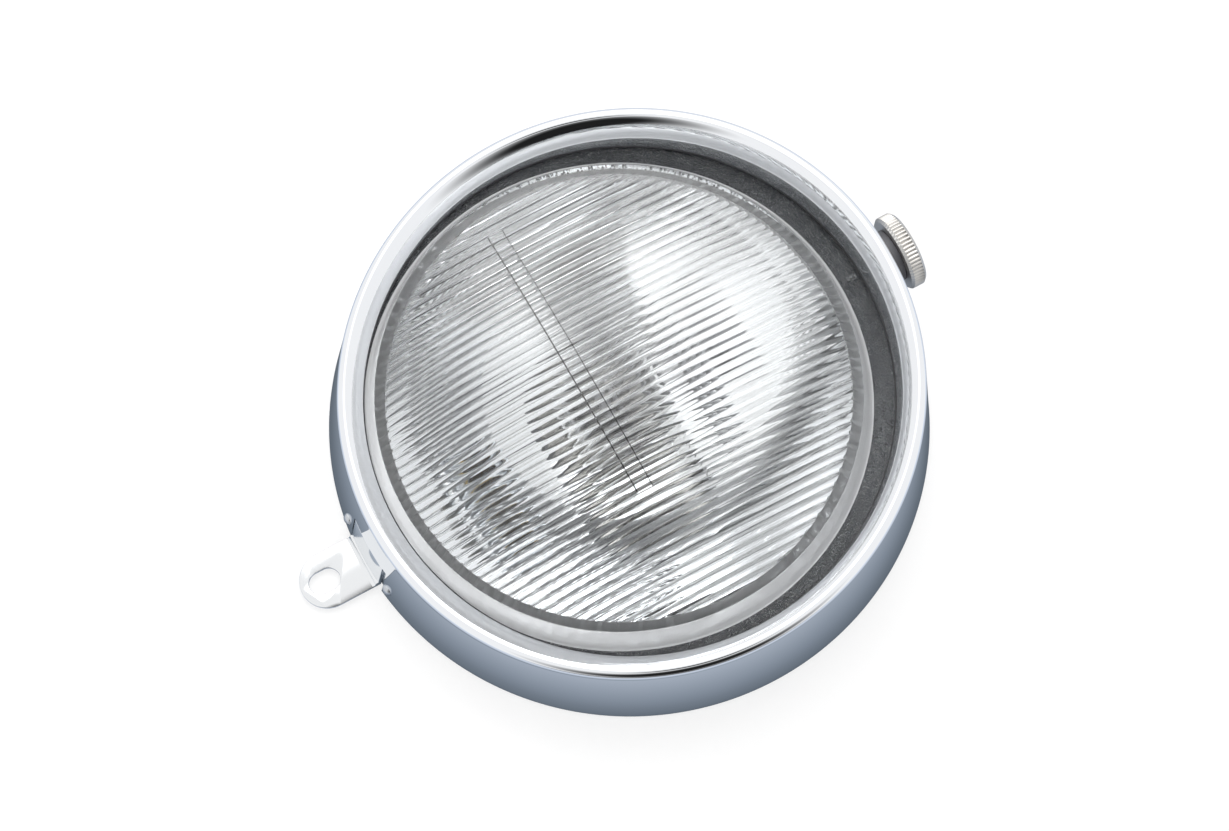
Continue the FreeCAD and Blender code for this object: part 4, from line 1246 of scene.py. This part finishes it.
@dataclass
class ThumbNut:
    """The knurled nut on the stud at the top of the ring."""

    centre: tuple[float, float] = (0.0, -24.0)
    bore: float = 2.55
    spigot: float = 5.0
    head: float = 10.35
    levels: tuple[float, float, float] = (78.3, 79.0, 83.4)
    chamfer: float = 0.7
    grooves: int = 60
    groove_depth: float = 0.38

    def build(self) -> None:
        """Turn the nut, press its knurl and dress it."""
        low, under, top = self.levels
        profile = [
            (self.bore, low, 0.0), (self.spigot - 0.15, low, 0.0), (self.spigot, low + 0.15, 0.0),
            (self.spigot, under, 0.0), (self.head - self.chamfer, under, 0.0),
            (self.head, under + self.chamfer, 0.5), (self.head, under + self.chamfer + 0.3, 1.0),
            (self.head, top - self.chamfer - 0.3, 1.0), (self.head, top - self.chamfer, 0.5),
            (self.head - self.chamfer, top, 0.0), (self.head - self.chamfer - 0.8, top, 0.0),
            (self.bore + 1.0, top, 0.0), (self.bore + 0.3, top - 0.1, 0.0), (self.bore, top - 0.5, 0.0),
        ]
        steps = self.grooves * 8
        points, faces, marks = [], [], []
        for n in range(steps):
            angle = 2 * math.pi * n / steps
            for radius, height, mark in profile:
                points.append((self.centre[0] + radius * math.cos(angle),
                               self.centre[1] + radius * math.sin(angle), height))
                marks.append(mark)
        size = len(profile)
        for n in range(steps):
            after = (n + 1) % steps
            for k in range(size):
                following = (k + 1) % size
                faces.append((n * size + k, after * size + k, after * size + following, n * size + following))
        mesh = bpy.data.meshes.new("thumb_nut_finished")
        mesh.from_pydata([Vector(point) * MM for point in points], [], faces)
        mark = mesh.attributes.new("knurled", "FLOAT", "POINT")
        mark.data.foreach_set("value", marks)
        work = bmesh.new()
        work.from_mesh(mesh)
        bmesh.ops.recalc_face_normals(work, faces=work.faces)
        work.to_mesh(mesh)
        work.free()
        nut = bpy.data.objects.new("thumb_nut_finished", mesh)
        bpy.context.scene.collection.objects.link(nut)
        build = NodeBuild("nut_knurl", nut)
        count = build.size("Grooves", float(self.grooves))
        depth = build.size("Depth", self.groove_depth * MM)
        spot = build.node("ShaderNodeSeparateXYZ")
        build.feed(spot.inputs[0], build.tree.nodes.new("GeometryNodeInputPosition").outputs[0])
        away = build.maths("SUBTRACT", spot.outputs[1], self.centre[1] * MM)
        angle = build.maths("ARCTAN2", away, spot.outputs[0])
        half_turn = build.maths("MULTIPLY", build.maths("MULTIPLY", angle, count), 0.5)
        wave = build.maths("ABSOLUTE", build.maths("COSINE", half_turn))
        share = build.maths("MULTIPLY", build.maths("MULTIPLY", build.maths("POWER", wave, 3.0), depth),
                            build.attribute("knurled"))
        inward = build.maths("MULTIPLY", share, -1.0)
        shift = build.node("ShaderNodeCombineXYZ",
                           X=build.maths("MULTIPLY", build.maths("COSINE", angle), inward),
                           Y=build.maths("MULTIPLY", build.maths("SINE", angle), inward))
        moved = build.node("GeometryNodeSetPosition", Geometry=build.given.outputs["Geometry"])
        build.feed(moved.inputs["Offset"], shift.outputs[0])
        build.finish(moved.outputs[0], Finish.NICKEL)
        if "knurled" in nut.data.attributes:
            nut.data.attributes.remove(nut.data.attributes["knurled"])
        smooth(nut, 32.0)
        settle(nut, "nut", "nickel", "thumb_nut")


@dataclass
class Fastenings:
    """The lugs, clips and screws that hold the reflector and the glass in the ring."""

    count: int = 4
    edge: float = 0.15
    finishes: dict[str, Finish] = field(default_factory=lambda: {
        "clip_lugs": Finish.ZINC, "retaining_clips": Finish.SPRING, "clip_screws": Finish.ZINC,
    })
    slots: dict[str, str] = field(default_factory=lambda: {
        "clip_lugs": "zinc", "retaining_clips": "spring_steel", "clip_screws": "zinc",
    })

    def build(self) -> None:
        """Take the first of each from the frame, round its edges and repeat it round the ring."""
        for node, finish in self.finishes.items():
            piece = softened(node, self.edge)
            work = bmesh.new()
            work.from_mesh(piece.data)
            away = [vert for vert in work.verts if vert.co.x < 0 or vert.co.z < 0]
            bmesh.ops.delete(work, geom=away, context="VERTS")
            work.to_mesh(piece.data)
            work.free()
            ring_of_copies(f"{node}_ring", piece, self.count, finish)
            smooth(piece)
            settle(piece, "ring", self.slots[node], node)


@dataclass
class MainBulb:
    """The two-filament bulb: clear globe, wound filaments and brass base."""

    axis_drop: float = -3.2
    globe: float = 14.5
    globe_height: float = 5.62
    stem: float = 8.8
    stem_foot: float = -27.0
    wall: float = 0.6

    def glass(self) -> None:
        """Turn the globe with its stem as one closed thin wall."""
        outside = [(self.stem, self.stem_foot), (self.stem, self.globe_height - self.globe - 3.0)]
        start = math.degrees(math.atan2(-(self.globe**2 - 9.6**2) ** 0.5, 9.6))
        outside += arc((0.0, self.globe_height), self.globe, start, 90.0, 24)[:-1]
        outside.append((0.02, self.globe_height + self.globe))
        inner = self.globe - self.wall
        inside = [(0.02, self.globe_height + inner)]
        low = math.degrees(math.atan2(-(inner**2 - 9.0**2) ** 0.5, 9.0))
        inside += arc((0.0, self.globe_height), inner, 90.0, low, 24)[1:]
        inside += [(self.stem - self.wall, self.globe_height - self.globe - 3.0),
                   (self.stem - self.wall, self.stem_foot)]
        globe = turned("bulb_glass_finished", outside + inside, self.axis_drop, 96)
        smooth(globe, 50.0)
        coat(globe, Finish.BULB)
        settle(globe, "ring", "bulb_glass", "bulb_glass")

    def wires(self) -> None:
        """Wind the two filaments where the frame has them."""
        boxes = loose_boxes("filaments")
        for number, (low, high) in enumerate(boxes):
            size = (high - low) / MM
            centre = (high + low) / 2 / MM
            along_x = size.x > size.y
            length = (size.x if along_x else size.y) - 0.2
            radius = min(size.x, size.y, size.z) / 2 - 0.12
            turns = max(6.0, round(length / 0.36))
            coil = Coil(radius, 0.1, length, turns, tuple(centre), "X" if along_x else "Y")
            wound = coil.build(f"filament_{number + 1}", Finish.TUNGSTEN)
            settle(wound, "ring", "tungsten", *(["filaments"] if number == 0 else []))

    def build(self) -> None:
        """Build all of the bulb's own pieces."""
        self.glass()
        self.wires()
        for node, finish, slot in (("bulb_collar", Finish.PLATED, "brass"),
                                   ("bulb_base", Finish.PLATED, "brass"),
                                   ("bulb_contacts", Finish.SOLDER, "solder"),
                                   ("bulb_insulator", Finish.INSULATOR, "black_glass")):
            piece = softened(node, 0.15)
            coat(piece, finish)
            settle(piece, "ring", slot, node)


def loose_boxes(node: str) -> list[tuple[Vector, Vector]]:
    """Boxes of a CAD node's separate solids, in metres.

    Args:
        node: Name of the node.

    Returns:
        Lowest and highest corner of each solid, from the lowest Z up.
    """
    work = bmesh.new()
    work.from_mesh(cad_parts[node].data)
    bmesh.ops.remove_doubles(work, verts=work.verts, dist=1e-6)
    left, boxes = set(work.verts), []
    while left:
        stack, found = [left.pop()], []
        while stack:
            vert = stack.pop()
            found.append(vert.co.copy())
            for edge in vert.link_edges:
                other = edge.other_vert(vert)
                if other in left:
                    left.remove(other)
                    stack.append(other)
        boxes.append((Vector([min(co[k] for co in found) for k in range(3)]),
                      Vector([max(co[k] for co in found) for k in range(3)])))
    work.free()
    return sorted(boxes, key=lambda pair: (round(pair[0].z, 6), round(pair[0].x, 6)))


@dataclass
class HolderSpring:
    """The spring that pushes the contact plate forward in the bulb holder."""

    wire: float = 0.45
    turns: float = 3.5

    def build(self) -> None:
        """Wind the spring in the frame's place and let it ride on the holder."""
        low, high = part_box("contact_spring")
        size, centre = (high - low) / MM, (high + low) / 2 / MM
        coil = Coil(size.x / 2 - self.wire, self.wire, size.y - 2 * self.wire, self.turns, tuple(centre), "Y")
        spring = coil.build("contact_spring_finished", Finish.SPRING)
        settle(spring, "holder", "spring_steel", "contact_spring")
        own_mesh(spring)


@dataclass
class PlainPieces:
    """Pieces whose shape comes from the frame: their edges are rounded and they are dressed."""

    edge: float = 0.15
    rounded: tuple[tuple[str, str, Finish, str], ...] = (
        ("mounting_tab", "ring", Finish.TAB_CHROME, "chrome"),
        ("tab_backplate", "ring", Finish.ZINC, "zinc"),
        ("tab_rivets", "ring", Finish.ZINC, "zinc"),
        ("bulb_neck", "ring", Finish.BURNISHED, "zinc"),
        ("socket_cap", "holder", Finish.ZINC, "zinc"),
        ("contact_plate", "contacts", Finish.PHENOLIC, "phenolic"),
        ("contact_studs", "contacts", Finish.BRASS, "brass"),
        ("terminal_blades", "contacts", Finish.BRASS, "brass"),
        ("pilot_sleeve", "ring", Finish.ZINC, "zinc"),
        ("pilot_holder", "pilot", Finish.ZINC, "zinc"),
        ("pilot_base", "pilot", Finish.BRASS, "brass"),
        ("pilot_terminal", "pilot", Finish.BRASS, "brass"),
        ("earth_tag", "ring", Finish.BRASS, "brass"),
        ("earth_rivet", "ring", Finish.ZINC, "zinc"),
    )
    kept: tuple[tuple[str, Finish], ...] = (
        ("front_seal", Finish.RUBBER),
        ("lens_gasket", Finish.GASKET),
        ("clamp_stud", Finish.ZINC),
        ("nut_washer", Finish.WASHER),
        ("filament_supports", Finish.TUNGSTEN),
        ("dipping_shield", Finish.TUNGSTEN),
        ("pilot_glass", Finish.BULB),
    )

    def build(self) -> None:
        """Dress every piece, and round the edges of those that show them."""
        for node, body, finish, slot in self.rounded:
            piece = softened(node, self.edge)
            coat(piece, finish)
            settle(piece, body, slot, node)
        for node, finish in self.kept:
            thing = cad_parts[node]
            for number in range(max(1, len(thing.material_slots))):
                if number < len(thing.material_slots):
                    thing.material_slots[number].material = finish.material
                else:
                    thing.data.materials.append(finish.material)
            log.info("%s: dressed as it is", node)


# ------------------------------------------------------------------------------------------------------------
# Stage
# ------------------------------------------------------------------------------------------------------------


@dataclass
class Studio:
    """Floor, backdrop, lamp, camera, and the discs that only gloss and glass see, as painted bright and dark
    reflections.
    """

    forward: Point = (0.2484, -0.9588, -0.1377)
    right: Point = (0.4848, 0.0, 0.8746)
    upward: Point = (-0.8386, -0.2840, 0.4648)
    aim: tuple[float, float] = (-3.97, 1.33)
    distance: float = 0.8055
    focal: float = 88.5
    # Painted dark reflection: a near-black patch on one side of the backdrop that only gloss sees.
    painted_dark_away: Point = (0.9367, 0.0, -0.3502)
    painted_dark_along: Point = (0.3502, 0.0, 0.9367)
    painted_dark_from: tuple[float, float] = (0.1, 0.36)
    painted_dark_side: tuple[float, float] = (1.0, 0.35)
    # Painted reflections: directions of the bright disc and of the dark side disc.
    painted_highlight_away: Point = (-0.62, -0.78, 0.3)
    painted_dark_side_away: Point = (0.749, -0.45, -0.28)
    painted_dark_tone: Point = (0.012, 0.013, 0.015)
    # Painted shadow in reflections: the colour that gloss sees on the backdrop is dark by the ring's foot and
    # paler further out, standing in for shade on the table.
    painted_shadow_reach: float = 0.4
    painted_shadow_grades: tuple[tuple[float, Point], ...] = (
        (0.079, (0.08, 0.1, 0.122)), (0.085, (0.24, 0.28, 0.335)), (0.094, (0.46, 0.51, 0.59)),
        (0.13, (0.66, 0.72, 0.82)), (0.4, (0.95, 0.97, 1.0)),
    )
    backdrop_glow: float = 0.72
    panel_gap: float = 1.2
    panel_hole: float = 77.5
    floor_reach: float = 4.0
    floor_level: float = -0.45
    sky: float = 0.95
    key_up: float = 0.7
    key_ahead: float = 0.75
    key_width: float = 0.6
    key_watts: float = 6.0

    def camera(self) -> None:
        """Place the camera."""
        data = bpy.data.cameras.new("view")
        data.lens = self.focal
        data.sensor_width = 36.0
        data.clip_start = 0.01
        camera = bpy.data.objects.new("view", data)
        axes = Matrix((Vector(self.right), Vector(self.upward), Vector(self.forward))).transposed()
        axes.normalize()
        aim = (Vector(self.right) * self.aim[0] + Vector(self.upward) * self.aim[1]) * MM
        camera.matrix_world = Matrix.Translation(aim + Vector(self.forward) * self.distance) @ axes.to_4x4()
        bpy.context.scene.collection.objects.link(camera)
        bpy.context.scene.camera = camera

    def lamp(self, name: str, spot: Point, size: float, watts: float, look: Point = (0.0, -0.02, 0.0)) -> None:
        """Add a soft square lamp that gloss and glass don't show.

        Args:
            name: Its name.
            spot: Where it stands, in metres.
            size: Its width, in metres.
            watts: Its power.
            look: The point that it faces, in metres.
        """
        data = bpy.data.lights.new(name, "AREA")
        data.size = size
        data.energy = watts
        lamp = bpy.data.objects.new(name, data)
        aim = Vector(look) - Vector(spot)
        lamp.matrix_world = Matrix.Translation(Vector(spot)) @ aim.to_track_quat("-Z", "Y").to_matrix().to_4x4()
        lamp.visible_glossy = False
        lamp.visible_transmission = False
        bpy.context.scene.collection.objects.link(lamp)

    def backdrop_material(self) -> bpy.types.Material:
        """White where the camera sees it, open from behind, and in reflections a painted reflection with
        painted shadow by the hole.

        Returns:
            The material.
        """
        material, shader, place = blank_material("backdrop_white")
        tree = material.node_tree
        nodes, links = tree.nodes, tree.links
        shader.inputs["Base Color"].default_value = (0.93, 0.93, 0.93, 1.0)
        shader.inputs["Roughness"].default_value = 0.9
        rays = nodes.new("ShaderNodeLightPath").outputs
        white = nodes.new("ShaderNodeEmission")
        white.inputs["Color"].default_value = (1.0, 1.0, 1.0, 1.0)
        # Emission that only glossy rays see: a painted reflection of the table, with painted shadow next to the
        # ring.
        painted_reflection = nodes.new("ShaderNodeEmission")
        links.new(self.painted_reflection_colour(tree, place), painted_reflection.inputs["Color"])
        clear = nodes.new("ShaderNodeBsdfTransparent")
        side = nodes.new("ShaderNodeNewGeometry")
        shade = mixed_shader(tree, self.backdrop_glow, shader.outputs[0], white.outputs[0])
        seen = mixed_shader(tree, rays["Is Camera Ray"], shader.outputs[0], shade)
        gloss = mixed_shader(tree, rays["Is Glossy Ray"], seen, painted_reflection.outputs[0])
        through = mixed_shader(tree, rays["Is Transmission Ray"], gloss, white.outputs[0])
        both = mixed_shader(tree, side.outputs["Backfacing"], through, clear.outputs[0])
        links.new(both, nodes["Material Output"].inputs["Surface"])
        return material

    def painted_reflection_colour(self, tree: bpy.types.NodeTree, place: bpy.types.Node) -> bpy.types.NodeSocket:
        """Paint the backdrop's colour that gloss sees: painted shadow dark next to its hole, paler outwards,
        with a painted dark reflection on one side.

        Args:
            tree: The material's tree.
            place: Its Texture Coordinate node.

        Returns:
            The colour.
        """
        nodes, links = tree.nodes, tree.links
        length = nodes.new("ShaderNodeVectorMath")
        length.operation = "LENGTH"
        links.new(place.outputs["Object"], length.inputs[0])
        ramp = nodes.new("ShaderNodeValToRGB")
        stops = ramp.color_ramp.elements
        (first, first_colour), *middle, (last, last_colour) = self.painted_shadow_grades
        stops[0].position, stops[0].color = first / self.painted_shadow_reach, (*first_colour, 1.0)
        stops[1].position, stops[1].color = last / self.painted_shadow_reach, (*last_colour, 1.0)
        for spot, colour in middle:
            stops.new(spot / self.painted_shadow_reach).color = (*colour, 1.0)
        links.new(shader_maths(tree, "DIVIDE", length.outputs["Value"], self.painted_shadow_reach), ramp.inputs["Fac"])
        # Mix in the painted dark reflection patch.
        dark = nodes.new("ShaderNodeMix")
        dark.data_type = "RGBA"
        dark.inputs[7].default_value = (*self.painted_dark_tone, 1.0)
        links.new(self.painted_dark_area(tree, place), dark.inputs[0])
        links.new(ramp.outputs["Color"], dark.inputs[6])
        return dark.outputs[2]

    def painted_dark_area(self, tree: bpy.types.NodeTree, place: bpy.types.Node) -> bpy.types.NodeSocket:
        """Mark the painted dark reflection on the backdrop: far enough out, and near enough to its middle line.

        Args:
            tree: The material's tree.
            place: Its Texture Coordinate node.

        Returns:
            The mask.
        """

        def part(axis: Point) -> bpy.types.NodeSocket:
            """How far along an axis a point lies.

            Args:
                axis: The axis.

            Returns:
                The distance.
            """
            product = tree.nodes.new("ShaderNodeVectorMath")
            product.operation = "DOT_PRODUCT"
            product.inputs[1].default_value = axis
            tree.links.new(place.outputs["Object"], product.inputs[0])
            return product.outputs["Value"]

        def edge(value: bpy.types.NodeSocket, low: float, high: float) -> bpy.types.NodeSocket:
            """Fade softly in between two values.

            Args:
                value: The value.
                low: Where the fade starts.
                high: Where it ends.

            Returns:
                The mask.
            """
            fade = tree.nodes.new("ShaderNodeMapRange")
            fade.interpolation_type = "SMOOTHSTEP"
            fade.inputs["From Min"].default_value = low
            fade.inputs["From Max"].default_value = high
            tree.links.new(value, fade.inputs["Value"])
            return fade.outputs["Result"]

        away, along = part(self.painted_dark_away), part(self.painted_dark_along)
        slant = shader_maths(tree, "ABSOLUTE", shader_maths(tree, "DIVIDE", along, away))
        return shader_maths(tree, "MULTIPLY", edge(away, *self.painted_dark_from), edge(slant, *self.painted_dark_side))

    def backdrop(self) -> None:
        """Build the upright panel behind the ring, with a round hole for the lamp's back."""
        steps, size = 96, 2500.0
        points: list[Point] = []
        for radius in (self.panel_hole, 130.0, 400.0, size):
            for n in range(steps):
                angle = 2 * math.pi * n / steps
                points.append((radius * math.cos(angle), self.panel_gap, radius * math.sin(angle)))
        faces = [(ring * steps + n, ring * steps + (n + 1) % steps, (ring + 1) * steps + (n + 1) % steps,
                  (ring + 1) * steps + n) for ring in range(3) for n in range(steps)]
        panel = bpy.data.objects.new("backdrop", bpy.data.meshes.new("backdrop"))
        panel.data.from_pydata([Vector(point) * MM for point in points], [], faces)
        bpy.context.scene.collection.objects.link(panel)
        if panel.data.polygons[0].normal.y > 0:
            panel.data.flip_normals()
        panel.data.materials.append(self.backdrop_material())

    def disc(self, name: str, away: Point, distance: float, radius: float, painted_reflection_strength: float) -> None:
        """Hang a painted reflection: a glowing disc, bright or dark, that only gloss and glass see, and that
        fades to nothing at its edge.

        Args:
            name: The disc's name.
            away: The direction from the lamp to the disc.
            distance: How far off it is, in metres.
            radius: Its radius, in metres.
            painted_reflection_strength: Its brightness, where 1 is white.
        """
        material, _, place = blank_material(name)
        nodes, links = material.node_tree.nodes, material.node_tree.links
        length = nodes.new("ShaderNodeVectorMath")
        length.operation = "LENGTH"
        links.new(place.outputs["Object"], length.inputs[0])
        fade = nodes.new("ShaderNodeMapRange")
        fade.interpolation_type = "SMOOTHSTEP"
        fade.inputs["From Min"].default_value = 0.3 * radius
        fade.inputs["From Max"].default_value = radius
        links.new(length.outputs["Value"], fade.inputs["Value"])
        painted_reflection_glow = nodes.new("ShaderNodeEmission")
        painted_reflection_glow.inputs["Strength"].default_value = painted_reflection_strength
        clear = nodes.new("ShaderNodeBsdfTransparent")
        soft = mixed_shader(material.node_tree, fade.outputs["Result"], painted_reflection_glow.outputs[0], clear.outputs[0])
        links.new(soft, nodes["Material Output"].inputs["Surface"])
        steps = 64
        ring = [(radius * math.cos(2 * math.pi * n / steps), radius * math.sin(2 * math.pi * n / steps), 0.0)
                for n in range(steps)]
        disc = bpy.data.objects.new(name, bpy.data.meshes.new(name))
        disc.data.from_pydata(ring, [], [tuple(range(steps))])
        disc.data.materials.append(material)
        spot = Vector(away).normalized() * distance
        disc.matrix_world = Matrix.Translation(spot) @ spot.to_track_quat("Z", "Y").to_matrix().to_4x4()
        disc.visible_camera = False
        disc.visible_diffuse = False
        disc.visible_shadow = False
        bpy.context.scene.collection.objects.link(disc)

    def floor(self) -> None:
        """Lay the pale floor well below the lamp."""
        material, shader, _ = blank_material("floor_white")
        shader.inputs["Base Color"].default_value = (0.86, 0.86, 0.86, 1.0)
        shader.inputs["Roughness"].default_value = 0.85
        floor = bpy.data.objects.new("floor", bpy.data.meshes.new("floor"))
        far, level = self.floor_reach, self.floor_level
        corners = [(-far, -far, level), (far, -far, level), (far, far, level), (-far, far, level)]
        floor.data.from_pydata(corners, [], [(0, 1, 2, 3)])
        floor.data.materials.append(material)
        floor.visible_glossy = False
        bpy.context.scene.collection.objects.link(floor)

    def world(self) -> None:
        """Light the scene evenly with white."""
        world = bpy.data.worlds.new("studio")
        world.use_nodes = True
        world.node_tree.nodes["Background"].inputs["Color"].default_value = (1.0, 1.0, 1.0, 1.0)
        world.node_tree.nodes["Background"].inputs["Strength"].default_value = self.sky
        bpy.context.scene.world = world

    def build(self) -> None:
        """Set up the whole stage."""
        bpy.context.scene.view_settings.view_transform = "Standard"
        self.world()
        self.backdrop()
        self.floor()
        # Painted reflections: one bright disc and two near-black discs that only gloss and glass see.
        self.disc("painted_highlight_disc", self.painted_highlight_away, 1.6, 1.1, 3.4)
        self.disc("painted_dark_reflection_disc", self.forward, 1.3, 0.26, 0.03)
        self.disc("painted_dark_side_reflection_disc", self.painted_dark_side_away, 0.92, 0.8, 0.015)
        self.camera()
        spot = Vector(self.upward) * self.key_up + Vector(self.forward) * self.key_ahead
        self.lamp("key", tuple(spot), self.key_width, self.key_watts)
        log.info("stage ready")


def write_sizes() -> None:
    """Update the view layer."""
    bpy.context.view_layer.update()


def main() -> None:
    """Build the lamp and its stage."""
    steps: tuple[Callable[[], None], ...] = (
        TrimRing().build, Lens().build, Reflector().build, ThumbNut().build, Fastenings().build,
        MainBulb().build,
        HolderSpring().build, PlainPieces().build, Studio().build, write_sizes,
    )
    for step in steps:
        step()


if __name__ == "__main__":
    main()
